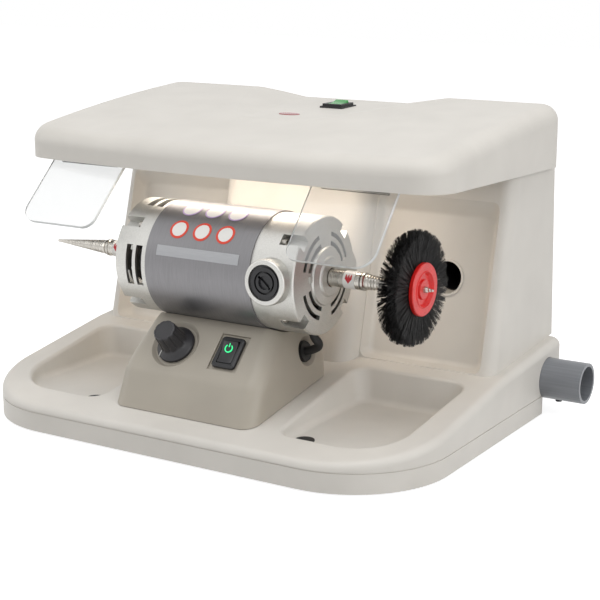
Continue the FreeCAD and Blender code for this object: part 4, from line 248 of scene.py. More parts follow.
CAST_ALLOY = blasted("aluminium_die_cast_blasted", "D0CFCB", "B3B2AE", 0.44)
SLEEVE_LACQUER = lined("steel_tube_silver_lacquer", "858486", "807F81", 0.4, 1.2,
                       (1, 0.06, 0.06), 0.003, 0.85, MOTOR_MIDDLE)
TURNED_STEEL = lined("steel_turned_bright", "C9C5BE", "A39F98", 0.26, 0.5,
                     (1, 0.04, 0.04), 0.03, 1.0, MOTOR_MIDDLE)
ZINC = lined("steel_sheet_zinc_plated", "BFC1C3", "ACAEB0", 0.4, 3.0, (0.2, 1, 1))
DARK_STEEL = blasted("steel_black_oxide", "2B2B2D", "1D1D1F", 0.4, 0.6, 0.04)
CORE_STEEL = lined("steel_laminations_stacked", "6F7072", "515254", 0.45, 0.6, (1, 0.02, 0.02))
COPPER = lined("copper_wire_enamelled", "B4653A", "8C4622", 0.34, 0.7, (0.1, 1, 1), 0.2)
FERRITE = blasted("ferrite_sintered", "3A3A3D", "2C2C2F", 0.6, 1.0, 0.05)
CARBON = blasted("carbon_pressed", "232325", "18181A", 0.55, 0.5, 0.03)
print("finishes so far", len(bpy.data.materials))

# %% [markdown]
# ## Pipe, cable and lamp
# Plastic pipe is extruded, so it has faint streaks along its length. The shields are polished
# acrylic: real glass shaders bend the light, which shows the rim of the sheet, and a tenth of the
# light is held back and shows a pale colour, a painted reflection that makes the sheet a little
# milky against the dark. The lamp's tube and its cover glow with their own light.

# %% Finishes of pipe, glass and lamp


ACRYLIC_IOR = 1.49


def glowing(name, colour, glow, strength, roughness=0.4):
    """A finish that gives off light of its own, over a faintly clouded colour."""
    material, tree, shader = start_finish(name, roughness)
    cloud = spread(tree, grain(tree, object_place(tree), 12), 0, 1)
    connect(tree, shader, colour=blend_colours(tree, cloud, srgb(colour), srgb(glow)))
    shader.inputs["Emission Color"].default_value = srgb(glow)
    shader.inputs["Emission Strength"].default_value = strength
    return material


def clear(name, colour, roughness, passed=1.0):
    """Polished acrylic: light goes through it, less a share that shows a pale colour, a painted
    reflection.
    """
    material, tree, shader = start_finish(name, roughness)
    # The share that doesn't pass shows the pale base colour: a painted reflection.
    shader.inputs["Transmission Weight"].default_value = passed
    shader.inputs["IOR"].default_value = ACRYLIC_IOR
    haze = spread(tree, grain(tree, object_place(tree), 8), roughness, roughness + 0.03)
    connect(tree, shader, roughness=haze)
    shader.inputs["Base Color"].default_value = srgb(colour)
    return material


PIPE_PVC = lined("pvc_pipe_extruded", "83868B", "787B80", 0.34, 2.0, (0.03, 1, 1), 0.02, 0.0)
LAMP_GLASS = glowing("lamp_tube_opal", "F4F2EA", "FFF3E0", 1.5)
DIFFUSER = glowing("acrylic_opal_diffuser", "F4F2EA", "FFF0DC", 0.6)
# The shields' sheet: a tenth of it shows a pale colour, a painted reflection.
ACRYLIC = clear("acrylic_sheet_polished_painted_reflection", "F1F2F2", 0.015, 0.9)
# The shields' edges: an opaque pale colour, a painted highlight for light leaving the sheet.
ACRYLIC_EDGE_PAINTED_HIGHLIGHT = moulded("acrylic_sawn_edge_painted_highlight", "E9ECEC", "D6DADA", 0.25, 0.7, 0.02, 10)
CLAMP_ACRYLIC = clear("acrylic_moulded_clamp", "E8EAEA", 0.12)
BOARD = moulded("circuit_board_green", "1F5A33", "184A29", 0.35)
print("finishes so far", len(bpy.data.materials))

# %% [markdown]
# ## Blank labels
# The sleeve carries two rows of round labels and one plate. They are left blank: a coloured ring
# round a pale middle. The ring could be a painted picture. Here it is drawn by distance, measured
# on the rolled-out surface of the sleeve, so it stays a true circle on the curve. The bands on
# the shaft carry an arrow that is drawn in the same way.

# %% Finishes of labels and bands

SLEEVE_RADIUS = 69.3
DISC_PITCH = 32
DISC_MIDDLE = -2
LOWER_ROW, UPPER_ROW = 48.3, 21
RING_INSIDE = 9.2
UPPER_RING_EXTRA = 1.2
BAND_RADIUS = 10.25
BAND_MIDDLE = 163
BAND_SHIFT = 2.3
ARROW_TURN = 72
ARROW_HALF = 4.6
PRONG_PITCH = 1.6
PRONG_HEIGHT = 5.1


def calculate(tree, operation, *values):
    """One step of arithmetic on numbers or sockets."""
    return add_node(tree, "ShaderNodeMath", dict(enumerate(values)), operation=operation).outputs[0]


def rolled_out(tree, radius_mm):
    """Two lengths in mm on a drum round the motor's axis: along it, and from its top forward."""
    place = add_node(tree, "ShaderNodeTexCoord").outputs["Object"]
    parts = add_node(tree, "ShaderNodeSeparateXYZ", {"Vector": place})
    along = calculate(tree, "MULTIPLY", parts.outputs["X"], 1 / MM)
    forward = calculate(tree, "SUBTRACT", MOTOR_Y * MM, parts.outputs["Y"])
    upward = calculate(tree, "SUBTRACT", parts.outputs["Z"], MOTOR_Z * MM)
    angle = calculate(tree, "ARCTAN2", forward, upward)
    return along, calculate(tree, "MULTIPLY", angle, radius_mm)


def make_label_discs():
    """Pale vinyl discs with a coloured ring: the distance to the nearest middle draws it."""
    material, tree, shader = start_finish("vinyl_label_discs", 0.32)
    along, around = rolled_out(tree, SLEEVE_RADIUS)
    lower, upper = (math.radians(angle) * SLEEVE_RADIUS for angle in (LOWER_ROW, UPPER_ROW))
    shifted = calculate(tree, "ADD", along, DISC_PITCH / 2 - DISC_MIDDLE)
    column = calculate(tree, "SUBTRACT", calculate(
        tree, "FLOORED_MODULO", shifted, DISC_PITCH), DISC_PITCH / 2)
    is_upper = calculate(tree, "LESS_THAN", around, (lower + upper) / 2)
    row_middle = calculate(tree, "ADD", lower, calculate(
        tree, "MULTIPLY", is_upper, upper - lower))
    row = calculate(tree, "SUBTRACT", around, row_middle)
    column_squared = calculate(tree, "MULTIPLY", column, column)
    row_squared = calculate(tree, "MULTIPLY", row, row)
    distance = calculate(tree, "SQRT", calculate(tree, "ADD", column_squared, row_squared))
    extra = calculate(tree, "MULTIPLY", is_upper, UPPER_RING_EXTRA)
    ring = calculate(tree, "GREATER_THAN", distance, calculate(tree, "ADD", RING_INSIDE, extra))
    ring_colour = blend_colours(tree, is_upper, srgb("D9402A"), srgb("B79CCB"))
    connect(tree, shader, colour=blend_colours(tree, ring, srgb("E6E4E0"), ring_colour))
    return material


def make_direction_band():
    """White film with red arrows that show the way the spindle turns."""
    material, tree, shader = start_finish("vinyl_direction_band", 0.3)
    along, around = rolled_out(tree, BAND_RADIUS)
    side = calculate(tree, "SIGN", along)
    middle = calculate(tree, "ADD", BAND_MIDDLE, calculate(tree, "MULTIPLY", side, BAND_SHIFT))
    off_middle = calculate(tree, "SUBTRACT", calculate(tree, "ABSOLUTE", along), middle)
    sideways = calculate(tree, "ABSOLUTE", off_middle)
    half_turn = math.pi * BAND_RADIUS
    shifted = calculate(
        tree, "ADD", around, half_turn / 2 - math.radians(ARROW_TURN) * BAND_RADIUS)
    down = calculate(tree, "SUBTRACT", calculate(
        tree, "FLOORED_MODULO", shifted, half_turn), half_turn / 2)
    # The head narrows on the way down
    narrowing = calculate(tree, "ADD", sideways, calculate(tree, "MULTIPLY", down, 0.8))
    head = calculate(tree, "LESS_THAN", narrowing, ARROW_HALF)
    head = calculate(tree, "MULTIPLY", head, calculate(tree, "GREATER_THAN", down, -0.5))
    # Three prongs widen from their tips above the head, until they join it
    widen = calculate(tree, "MULTIPLY", calculate(tree, "ADD", down, PRONG_HEIGHT), 0.32)
    prong = calculate(tree, "LESS_THAN", calculate(tree, "PINGPONG", sideways, PRONG_PITCH),
                      calculate(tree, "ADD", widen, 0.4))
    prong = calculate(tree, "MULTIPLY", prong, calculate(tree, "LESS_THAN", sideways, 4.2))
    prong = calculate(tree, "MULTIPLY", prong, calculate(tree, "COMPARE", down, -2.5, 2.6))
    arrow = calculate(tree, "MAXIMUM", head, prong)
    connect(tree, shader, colour=blend_colours(tree, arrow, srgb("ECEAE6"), srgb("C4202A")))
    return material


LABEL_DISCS = make_label_discs()
DIRECTION_BAND = make_direction_band()
BLANK_PLATE = lined("aluminium_plate_blank", "B4B5B8", "ABACAF", 0.45, 0.8, (0.05, 1, 1),
                    0.01, 0.0)
RED_BADGE = glowing("enamel_red_badge", "A0242A", "8E1C22", 0.0, 0.2)
print("finishes so far", len(bpy.data.materials))

# %% [markdown]
# ## Dressing the solids
# Each solid of the frame keeps its own mesh and takes the finish of the real piece. The list is
# sorted by finish, so that pieces of one material can't drift apart in looks.

# %% Finishes on the solids

DRESS = {
    SHELL: ["base_shell", "rear_housing", "hood", "port_collars"],
    PEDESTAL: ["pedestal"],
    PANEL: ["housing_back_panel"],
    ZINC: ["base_plate", "motor_saddle", "lamp_tray", "shield_brackets"],
    RUBBER: ["rubber_feet", "rubber_grommets", "motor_lead"],
    DARK_STEEL: ["case_screws"],
    BLACK_NYLON: ["mains_inlet", "suction_ducts", "light_switch_body", "power_switch_body",
                  "speed_potentiometer", "brush_holders", "brush_caps"],
    PIPE_PVC: ["pipe_tees", "cross_pipe", "exhaust_pipe", "blanking_plug"],
    LAMP_GLASS: ["lamp_tube"],
    WHITE_NYLON: ["lamp_holders"],
    DIFFUSER: ["lamp_diffuser"],
    TURNED_STEEL: ["shield_pins", "potentiometer_shaft", "saddle_bolts", "through_bolts",
                   "bearings", "motor_shaft", "shaft_sleeves", "left_spindle", "right_spindle"],
    CLAMP_ACRYLIC: ["left_shield_clamp", "right_shield_clamp"],
    ACRYLIC: ["left_shield", "right_shield"],
    RED_BADGE: ["badge"],
    KNOB_ABS: ["speed_knob"],
    BOARD: ["speed_board"],
    SLEEVE_LACQUER: ["motor_sleeve"],
    CAST_ALLOY: ["left_end_bell", "right_end_bell"],
    FERRITE: ["field_magnets"],
    CORE_STEEL: ["armature_core"],
    COPPER: ["armature_windings", "commutator"],
    FAN_NYLON: ["cooling_fan"],
    CARBON: ["carbon_brushes"],
    BLANK_PLATE: ["rating_plate"],
    LABEL_DISCS: ["label_discs"],
    DIRECTION_BAND: ["direction_bands"],
    RED_NYLON: ["brush_hub"],
}


def dress(piece, material):
    """Gives a solid one finish in place of what it had."""
    piece.data.materials.clear()
    piece.data.materials.append(material)


for material, names in DRESS.items():
    for name in names:
        dress(nodes[name], material)
print("dressed", sum(len(names) for names in DRESS.values()))

# %% [markdown]
# ## The shields' sawn edges and their painted highlight
# A clear sheet shows itself by its edge, where light that travels inside comes out. The narrow
# faces get an opaque pale colour, a painted highlight for that light over their sawn grain, and
# the broad faces stay clear.

# %% Edges of the shields


def brighten_edges(name, tilt_degrees):
    """Gives the painted edge highlight to the faces that don't look along the sheet's own normal.
    """
    tilt = math.radians(tilt_degrees)
    mesh = nodes[name].data
    mesh.materials.append(ACRYLIC_EDGE_PAINTED_HIGHLIGHT)
    across = Vector((0, math.cos(tilt), -math.sin(tilt)))
    edge = 0
    for face in mesh.polygons:
        if abs(face.normal.dot(across)) < 0.9:
            face.material_index = 1
            edge += 1
    print(name, "edge faces", edge, "of", len(mesh.polygons))


brighten_edges("left_shield", 46.5)
brighten_edges("right_shield", 40)

# %% [markdown]
# ## New pieces
# A new piece is a mesh that bmesh operators shape in place, in metres and in the model's own
# frame. Modelling by hand would do for one machine, but operators keep each size in view.

# %% Helpers for new pieces


SMOOTH_BELOW = math.radians(35)
SAME_PLACE = 1e-7


def finish_piece(name, shape, material, body, replaces=()):
    """Turns a bmesh into a piece of the scene that moves with a body."""
    bmesh.ops.remove_doubles(shape, verts=shape.verts, dist=SAME_PLACE)
    bmesh.ops.recalc_face_normals(shape, faces=shape.faces)
    mesh = bpy.data.meshes.new(name)
    for edge in shape.edges:
        edge.smooth = len(edge.link_faces) == 2 and edge.calc_face_angle() < SMOOTH_BELOW
    for face in shape.faces:
        face.smooth = True
    shape.to_mesh(mesh)
    shape.free()
    piece = bpy.data.objects.new(name, mesh)
    bpy.context.scene.collection.objects.link(piece)
    mesh.materials.append(material)
    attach(piece, body)
    if replaces:
        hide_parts(*replaces)
    print(name, "faces", len(mesh.polygons))


def ringed(levels, count, radius_at):
    """A closed shape of stacked rings, each extruded from the last."""
    shape = bmesh.new()
    bmesh.ops.create_circle(shape, segments=count, radius=1, cap_ends=True)
    ring = list(shape.verts)

    def set_ring(vertices, level):
        height, size = level
        for vertex in vertices:
            angle = math.atan2(vertex.co.y, vertex.co.x)
            reach = radius_at(angle, size, level)
            vertex.co = Vector((reach * math.cos(angle), reach * math.sin(angle), height))

    set_ring(ring, levels[0])
    edges = list(shape.edges)
    for level in levels[1:]:
        made = bmesh.ops.extrude_edge_only(shape, edges=edges)["geom"]
        ring = [item for item in made if isinstance(item, bmesh.types.BMVert)]
        edges = [item for item in made if isinstance(item, bmesh.types.BMEdge)
                 and all(vertex in ring for vertex in item.verts)]
        set_ring(ring, level)
    bmesh.ops.contextual_create(shape, geom=edges)
    return shape


CONTROL_SLOPE = math.radians(45)
CONTROL_FOOT = (0, -158, 84)
CONTROL_RISE = 38.5
KNOB_SIDE = -36
SWITCH_SIDE = 39


def face_matrix(side, out=0.0):
    """The frame of a control on the pedestal's face: X across, Y up the slope, Z out of it."""
    up = Vector((0, math.sin(CONTROL_SLOPE), math.cos(CONTROL_SLOPE)))
    normal = Vector((0, -up.z, up.y))
    foot = Vector(CONTROL_FOOT) * MM
    place = foot + Vector((side * MM, 0, 0)) + up * CONTROL_RISE * MM + normal * out * MM
    turn = Matrix((Vector((1, 0, 0)), up, normal)).transposed()
    return Matrix.Translation(place) @ turn.to_4x4()


print("piece helpers ready")

# %% [markdown]
# ## Speed knob
# The knob is one moulding: a flared skirt that fills the dish, and a tapered grip with shallow
# flutes for the fingers. The flutes could be cut one by one, but a stack of rings whose radius
# swings a little with the angle gives them soft edges that run out at both ends.

# %% Speed knob

KNOB_BOTTOM = -3.4
FLUTES = 10
FLUTE_DEPTH = 1.1
FLUTE_START = 9
FLUTE_END = 35
KNOB_STEPS = 160


def knob_radius(angle, size, level):
    """The knob's radius at an angle: flutes that fade in over the skirt and out at the top."""
    height = level[0] / MM - KNOB_BOTTOM
    fade_in = min(1, max(0, (height - FLUTE_START) / 4))
    depth = FLUTE_DEPTH * fade_in * min(1, max(0.25, (FLUTE_END - height) / 2))
    wave = abs(math.sin(FLUTES * angle / 2))
    return (size - depth * (1 - wave) ** 2) * MM


def make_knob():
    """The knob from its profile of heights and radii, on its place in the dish."""
    profile = [(0, 22.9), (0.4, 23.4), (3.2, 23.5), (4, 23.2), (5.4, 21.6), (7, 19.6),
               (8.6, 17.9), (9.6, 17.0), (10.6, 16.5), (12.5, 16.1), (18, 15.3), (24, 14.6),
               (30, 14.0), (32.6, 13.7), (33.6, 13.2), (34, 12.2), (34, 11.6), (33.5, 11.2),
               (33.5, 2)]
    levels = [((KNOB_BOTTOM + height) * MM, size) for height, size in profile]
    shape = ringed(levels, KNOB_STEPS, knob_radius)
    bmesh.ops.transform(shape, matrix=face_matrix(KNOB_SIDE), verts=shape.verts)
    finish_piece("knob_moulding", shape, KNOB_ABS, "knob", ["speed_knob"])


make_knob()


def make_pointer():
    """A thin raised line on the skirt, at the slow end of the scale."""
    shape = bmesh.new()
    bmesh.ops.create_cube(shape, size=1)
    bmesh.ops.scale(shape, vec=(0.9 * MM, 8.5 * MM, 0.9 * MM), verts=shape.verts)
    bmesh.ops.bevel(shape, geom=shape.edges[:], offset=0.2 * MM, segments=2, profile=0.5,
                    affect="EDGES", material=-1)
    tilt = Matrix.Rotation(math.radians(-36), 4, "X")
    place = Matrix.Translation((0, 20.0 * MM, (KNOB_BOTTOM + 6.9) * MM))
    turn = Matrix.Rotation(math.radians(145), 4, "Z")
    matrix = face_matrix(KNOB_SIDE) @ turn @ place @ tilt
    bmesh.ops.transform(shape, matrix=matrix, verts=shape.verts)
    finish_piece("knob_pointer", shape, WHITE_NYLON, "knob")


make_pointer()

# %% [markdown]
# ## Power switch
# A rocker switch: a rounded black bezel, a rocker with a hollow back, and a ring-and-bar sign
# that the lamp inside lights green. A box with bevelled edges makes each, because real mouldings
# have no sharp corner, and the rounding catches the light.

# %% Power switch

GREEN_SIGN = glowing("polycarbonate_green_lit", "1FA860", "35E08A", 1.1, 0.3)
GREEN_ROCKER = glowing("polycarbonate_green_rocker", "2E7D3C", "2F8A3E", 0.25, 0.25)


CORNER_SEGMENTS = 6


def soft_box(width, length, height, corner, edge):
    """A box with rounded upright corners and softened top and bottom edges, in metres."""
    shape = bmesh.new()
    bmesh.ops.create_cube(shape, size=1)
    bmesh.ops.scale(shape, vec=(width * MM, length * MM, height * MM), verts=shape.verts)
    upright = [e for e in shape.edges
               if abs(e.verts[0].co.z - e.verts[1].co.z) > height * MM / 2]
    bmesh.ops.bevel(shape, geom=upright, offset=corner * MM, segments=CORNER_SEGMENTS,
                    profile=0.5, affect="EDGES", material=-1)
    flat = [e for e in shape.edges if abs(e.verts[0].co.z - e.verts[1].co.z) < SAME_PLACE
            and abs(e.calc_face_angle(0)) > 1]
    bmesh.ops.bevel(shape, geom=flat, offset=edge * MM, segments=3, profile=0.5,
                    affect="EDGES", material=-1)
    return shape


def top_face(shape):
    """The highest face that looks up."""
    return max(shape.faces, key=lambda face: face.calc_center_median().z + face.normal.z)


def make_bezel():
    """The switch's frame: a soft box with a stepped well for the rocker."""
    shape = soft_box(31, 40, 5, 4.5, 1.6)
    top = top_face(shape)
    bmesh.ops.inset_region(shape, faces=[top], thickness=3.4 * MM)
    top = top_face(shape)
    for depth, narrow in ((-0.8, 0.6), (-3.4, 0.3)):
        made = bmesh.ops.extrude_face_region(shape, geom=[top])["geom"]
        inner = [item for item in made if isinstance(item, bmesh.types.BMFace)]
        bmesh.ops.delete(shape, geom=[top], context="FACES_ONLY")
        verts = list({vertex for face in inner for vertex in face.verts})
        middle = inner[0].calc_center_median()
        bmesh.ops.translate(shape, vec=(0, 0, depth * MM), verts=verts)
        for vertex in verts:
            aside = vertex.co - middle
            vertex.co.x -= math.copysign(narrow * MM, aside.x)
            vertex.co.y -= math.copysign(narrow * MM, aside.y)
        top = inner[0]
    bmesh.ops.transform(shape, matrix=face_matrix(SWITCH_SIDE), verts=shape.verts)
    finish_piece("power_switch_bezel", shape, BLACK_NYLON, "frame",
                 ["power_switch_body"])


make_bezel()


ROCKER_TILT = 8
ROCKER_CORNER = 1.6
ROCKER_EDGE = 1.2
ROCKER_HOLLOW = 1.6


def rocker_matrix(matrix):
    """A pivot's frame, tipped to the side that the picture shows pressed."""
    return matrix @ Matrix.Rotation(math.radians(ROCKER_TILT), 4, "X")


def make_rocker(name, size, matrix, material, body, replaces):
    """A rocker: a softened block whose top is pressed in towards its middle line."""
    width, length, height = size
    shape = soft_box(width, length, height, ROCKER_CORNER, ROCKER_EDGE)
    for cut in range(-3, 4):
        bmesh.ops.bisect_plane(shape, geom=shape.verts[:] + shape.edges[:] + shape.faces[:],
                               plane_co=(0, cut * length * MM / 8, 0), plane_no=(0, 1, 0))
    for vertex in shape.verts:
        if vertex.co.z > 0:
            along = vertex.co.y / (length * MM / 2)
            vertex.co.z -= ROCKER_HOLLOW * MM * (1 - along * along)
    bmesh.ops.transform(shape, matrix=matrix, verts=shape.verts)
    finish_piece(name, shape, material, body, replaces)


POWER_PIVOT = face_matrix(SWITCH_SIDE, 1.0)
LIGHT_PIVOT = Matrix.Translation(Vector((14, 154, 366)) * MM)
shift_down = Matrix.Translation((0, 0, -0.6 * MM))
make_rocker("power_rocker_cap", (19.6, 27.4, 8), rocker_matrix(POWER_PIVOT) @ shift_down,
            BLACK_NYLON, "power_rocker_body", ["power_rocker"])
make_rocker("light_rocker_cap", (19.0, 22.4, 8), rocker_matrix(LIGHT_PIVOT) @ shift_down,
            GREEN_ROCKER, "light_rocker_body", ["light_rocker"])

SIGN_RADIUS = 4.6
SIGN_HALF = 0.55
SIGN_GAP = 38
SIGN_BAR = (1.1, 4.6, 1.1)
SIGN_BAR_RISE = 4.0
SIGN_PLACE = (0, 4.4, 2.35)


def make_power_sign():
    """The lit sign: a ring that is open at its top, and a bar in the opening."""
    shape = bmesh.new()
    radius, half = SIGN_RADIUS * MM, SIGN_HALF * MM
    gap = math.radians(SIGN_GAP)
    start = Vector((math.sin(gap) * radius, math.cos(gap) * radius, 0))
    outward = start.normalized()
    corners = [shape.verts.new(start + outward * out + Vector((0, 0, rise)))
               for out, rise in ((-half, -half), (half, -half), (half, half), (-half, half))]
    face = shape.faces.new(corners)
    bmesh.ops.spin(shape, geom=[face] + face.edges[:] + face.verts[:], cent=(0, 0, 0),
                   axis=(0, 0, -1), angle=math.radians(360) - 2 * gap, steps=28)
    bar = bmesh.ops.create_cube(shape, size=1)["verts"]
    bmesh.ops.scale(shape, vec=[size * MM for size in SIGN_BAR], verts=bar)
    bmesh.ops.translate(shape, vec=(0, SIGN_BAR_RISE * MM, 0), verts=bar)
    lift = Matrix.Translation([place * MM for place in SIGN_PLACE])
    matrix = rocker_matrix(POWER_PIVOT) @ lift
    bmesh.ops.transform(shape, matrix=matrix, verts=shape.verts)
    finish_piece("power_sign", shape, GREEN_SIGN, "power_rocker_body")


make_power_sign()

# %% [markdown]
# ## Threads
# Both spindles are turned from one bar and carry a coarse screw thread, which pulls the wheel or
# brush tight as it is pushed on. A screw modifier or a wound tube could make it, but would have
# to be joined to the bar. Here one fine grid is rolled up into a tube whose radius rises and
# falls with the turn and with the way along the axis, so that bar and thread are one skin.

# %% Spindles


def profile_radius(profile, along):
    """Radius at a place along the axis, straight between the profile's points."""
    for (x0, r0), (x1, r1) in zip(profile, profile[1:]):
        if x0 <= along <= x1 and x1 > x0:
            return r0 + (r1 - r0) * (along - x0) / (x1 - x0)
    return profile[-1][1]


THREAD_STEP = 0.5
THREAD_FADE = 2
BAR_STEPS = 36


def threaded_bar(profile, threads, sign, pitch_mm, depth_mm):
    """A bar along the motor's axis; threads are (start, end) stretches that get the thread."""
    stations = {along for along, radius in profile}
    for first, last in threads:
        count = int((last - first) / THREAD_STEP)
        stations.update(first + (last - first) * i / count for i in range(count + 1))
    stations = sorted(stations)
    shape = bmesh.new()
    bmesh.ops.create_grid(shape, x_segments=len(stations) - 1, y_segments=BAR_STEPS, size=0.5)
    for vertex in shape.verts:
        column = round((vertex.co.x + 0.5) * (len(stations) - 1))
        turn = (vertex.co.y + 0.5) * math.tau
        along = stations[column]
        radius = profile_radius(profile, along)
        for first, last in threads:
            if first <= along <= last:
                fade = min(1, (along - first) / THREAD_FADE, (last - along) / THREAD_FADE)
                phase = (along / pitch_mm + turn / math.tau) % 1
                crest = abs(2 * phase - 1)
                radius -= depth_mm * fade * crest * min(1, radius / 3)
        vertex.co = Vector((sign * along * MM, (MOTOR_Y + radius * math.sin(turn)) * MM,
                            (MOTOR_Z + radius * math.cos(turn)) * MM))
    bmesh.ops.remove_doubles(shape, verts=shape.verts, dist=1e-6)
    rims = [edge for edge in shape.edges if edge.is_boundary]
    bmesh.ops.holes_fill(shape, edges=rims, sides=0)
    return shape


def spindle_root(neck, start, groove):
    """Profile from the bore's end over the collar to the foot of the taper."""
    return [(166.3, 6.0), (neck, 6.01), (neck + 0.01, 9.3), (neck + 1, 10.3), (start - 3, 10.3),
            (start - 2, groove), (start - 0.5, groove), (start, 9.0)]


def make_spindles():
    """The left taper with its pigtail thread, and the right one with its threaded root and tip."""
    left = spindle_root(174.6, 181.4, 7.8) + [(259.8, 1.7), (261, 0.9)]
    shape = threaded_bar(left, [(182, 259)], -1, 2.6, 0.55)
    finish_piece("taper_left", shape, TURNED_STEEL, "rotor", ["left_spindle"])
    right = spindle_root(179.2, 186, 8.6) + [(257, 3.5), (265, 1.6), (266, 0.9)]
    shape = threaded_bar(right, [(187, 206), (258, 265)], 1, 3.6, 0.9)
    finish_piece("taper_right", shape, TURNED_STEEL, "rotor", ["right_spindle"])


make_spindles()

# %% [markdown]
# ## Bristles
# The wheel brush holds thousands of stiff black bristles between its red discs, set in tufts. A
# hair system could grow them, but its strands don't come out as a mesh in the same place each
# time. So each bristle is a thin curve with a tapering thickness. The tufts' tips gather a
# little, which gives the ragged outline. Bristles are drawn 0.6 mm thick, about twice their real
# size, so that fewer of them fill the brush, and the dense root is one dark ring.

# %% Bristles

BRISTLE_BLACK = lined("horsehair_black", "0C0C0C", "1C1B1A", 0.42, 0.7, (1, 1, 1), 0.0, 0.0)
BRISTLE_GREY = lined("horsehair_worn", "4C4A47", "33312F", 0.35, 0.7, (1, 1, 1), 0.0, 0.0)
BRUSH_MIDDLE = 241
TUFTS = 48
ROWS = 5
PER_TUFT = 29
GREY_SHARE = 0.07
BRISTLE_RADIUS = 0.3
BRISTLE_ROOT = 14
BRUSH_REACH = (62.4, 65.0)
BRUSH_HALF_WIDTH = 14.6
SEED = 7


def make_bristles():
    """All bristles as one mesh: rows of tufts round the hub, each bristle a line of four points."""
    random.seed(SEED)
    curve = bpy.data.curves.new("bristle_lines", "CURVE")
    curve.dimensions = "3D"
    curve.bevel_depth = BRISTLE_RADIUS * MM
    curve.bevel_resolution = 0
    curve.resolution_u = 1
    for row in range(ROWS):
        offset = (row - (ROWS - 1) / 2) / (ROWS / 2)
        for tuft in range(TUFTS):
            middle = math.tau * (tuft + 0.5 * (row % 2)) / TUFTS
            gather = random.uniform(0.25, 1.0)
            lean_turn = random.gauss(0, 0.02)
            reach = random.uniform(*BRUSH_REACH)
            for _ in range(PER_TUFT):
                turn = middle + random.gauss(0, 0.028)
                tip_turn = middle + lean_turn + random.gauss(0, 0.05 * gather + 0.008)
                aside = offset * 10 + random.uniform(-2, 2)
                tip_aside = offset * 13 + random.gauss(0, 1.5 * gather)
                tip_aside = max(-BRUSH_HALF_WIDTH, min(BRUSH_HALF_WIDTH, tip_aside))
                tip = reach - abs(random.gauss(0, 0.9)) - 0.02 * tip_aside ** 2
                spline = curve.splines.new("POLY")
                spline.points.add(3)
                for point, share in zip(spline.points, (0, 0.45, 0.8, 1)):
                    radius = BRISTLE_ROOT + (tip - BRISTLE_ROOT) * share
                    bend = share * share
                    angle = turn + (tip_turn - turn) * bend
                    place = Vector((BRUSH_MIDDLE + aside + (tip_aside - aside) * bend,
                                    MOTOR_Y - radius * math.sin(angle),
                                    MOTOR_Z + radius * math.cos(angle)))
                    point.co = (*(place * MM), 1)
                    point.radius = 1.0 - 0.45 * share
                spline.material_index = 1 if random.random() < GREY_SHARE else 0
    lines = bpy.data.objects.new("bristle_lines", curve)
    bpy.context.scene.collection.objects.link(lines)
    curve.materials.append(BRISTLE_BLACK)
    curve.materials.append(BRISTLE_GREY)
    final = lines.evaluated_get(bpy.context.evaluated_depsgraph_get())
    mesh = bpy.data.meshes.new_from_object(final)
    bpy.data.objects.remove(lines)
    piece = bpy.data.objects.new("bristles", mesh)
    bpy.context.scene.collection.objects.link(piece)
    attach(piece, "rotor")
    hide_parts("brush_bristles")
    print("bristles", ROWS * TUFTS * PER_TUFT, "faces", len(mesh.polygons))


make_bristles()


def make_bristle_bed():
    """The dense root of the bristles, a ring that lets no light through."""
    shape = bmesh.new()
    outline = [(12.1, -10.2), (27, -10.2), (34, -5), (52, -4), (52, 4), (34, 5), (27, 10.2),
               (12.1, 10.2)]
    spots = [shape.verts.new(Vector((BRUSH_MIDDLE + aside, MOTOR_Y, MOTOR_Z + radius)) * MM)
             for radius, aside in outline]
    edges = [shape.edges.new((a, b)) for a, b in zip(spots, spots[1:] + spots[:1])]
    middle = Vector((BRUSH_MIDDLE, MOTOR_Y, MOTOR_Z)) * MM
    bmesh.ops.spin(shape, geom=spots + edges, cent=middle, axis=(1, 0, 0), angle=math.tau,
                   steps=72, use_merge=True)
    finish_piece("bristle_bed", shape, BRISTLE_BLACK, "rotor")


make_bristle_bed()

# %% [markdown]
# ## Floor, backdrop and light
# The machine stands on a plain white sweep under soft light. More light would make a grey floor
# white, but would wash out the machine. So the glow of the floor and of the world is seen by the
# camera, in reflections and through clear sheet only: both look white, the floor keeps the
# shadow, and neither lights the piece.

# %% Floor and world


def seen_directly(tree):
    """One where a ray comes from the camera, a mirror-like reflection or through clear sheet."""
    path = add_node(tree, "ShaderNodeLightPath")
    seen = calculate(tree, "MAXIMUM", path.outputs["Is Camera Ray"], path.outputs["Is Glossy Ray"])
    return calculate(tree, "MAXIMUM", seen, path.outputs["Is Transmission Ray"])


FLOOR_HALF = 6


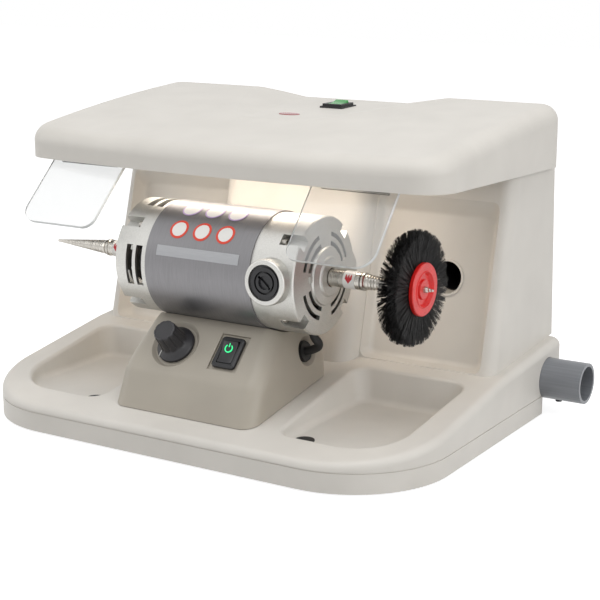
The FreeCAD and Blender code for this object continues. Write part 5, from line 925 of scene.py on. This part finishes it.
def make_floor():
    """A wide grey floor with a white glow that doesn't light the machine."""
    shape = bmesh.new()
    bmesh.ops.create_grid(shape, x_segments=1, y_segments=1, size=FLOOR_HALF)
    mesh = bpy.data.meshes.new("floor")
    shape.to_mesh(mesh)
    shape.free()
    floor = bpy.data.objects.new("floor", mesh)
    bpy.context.scene.collection.objects.link(floor)
    material, tree, shader = start_finish("paper_sweep_white", 0.9)
    shader.inputs["Base Color"].default_value = (0.6, 0.6, 0.6, 1)
    shader.inputs["Specular IOR Level"].default_value = 0.0
    glow = add_node(tree, "ShaderNodeEmission", {"Color": (1, 1, 1, 1), "Strength": 0.8})
    both = add_node(tree, "ShaderNodeAddShader", {0: shader.outputs[0], 1: glow.outputs[0]})
    mixed = add_node(tree, "ShaderNodeMixShader", {
        0: seen_directly(tree), 1: shader.outputs[0], 2: both.outputs[0]})
    output = next(node for node in tree.nodes if node.type == "OUTPUT_MATERIAL")
    tree.links.new(mixed.outputs[0], output.inputs["Surface"])
    mesh.materials.append(material)


def make_world():
    """Soft white light from all round, and a pure white background."""
    world = bpy.data.worlds.new("studio")
    bpy.context.scene.world = world
    world.use_nodes = True
    tree = world.node_tree
    tree.nodes.clear()
    plain = add_node(tree, "ShaderNodeBackground", {"Color": (1, 1, 1, 1), "Strength": 0.5})
    white = add_node(tree, "ShaderNodeBackground", {"Color": (1, 1, 1, 1), "Strength": 1.0})
    mixed = add_node(tree, "ShaderNodeMixShader", {
        0: seen_directly(tree), 1: plain.outputs[0], 2: white.outputs[0]})
    add_node(tree, "ShaderNodeOutputWorld", {"Surface": mixed.outputs[0]})


make_floor()
make_world()
print("floor and world ready")

# %% [markdown]
# ## Lamps
# Wide lamps give the broad highlights and soft shadows of a studio. One hangs overhead, one
# stands at each side, and a small warm one sits where the tube under the hood is, because the
# tube's own glow would need far more samples to light the motor without noise.

# %% Lamps


def area_lamp(name, place, target, size, watts, colour="FFFFFF", depth=None):
    """A flat lamp at a place that looks at a target; sizes are in metres."""
    data = bpy.data.lights.new(name, "AREA")
    data.shape = "RECTANGLE"
    data.size = size
    data.size_y = depth or size
    data.energy = watts
    data.color = srgb(colour)[:3]
    lamp = bpy.data.objects.new(name, data)
    bpy.context.scene.collection.objects.link(lamp)
    lamp.location = place
    aim = Vector(target) - Vector(place)
    lamp.rotation_euler = aim.to_track_quat("-Z", "Y").to_euler()
    lamp.visible_camera = False


area_lamp("key_overhead", (0.2, -0.5, 1.9), (0, 0, 0.2), 1.6, 16)
area_lamp("side_right", (2.0, -0.4, 0.9), (0.1, 0, 0.2), 1.2, 12)
area_lamp("side_left", (-1.8, -0.9, 0.9), (0, 0, 0.2), 1.0, 6)
area_lamp("hood_lamp", (0, -0.02, 0.3165), (0, -0.02, 0), 0.3, 0.5, "FFF2E4", 0.05)
bpy.context.scene.view_settings.view_transform = "Standard"
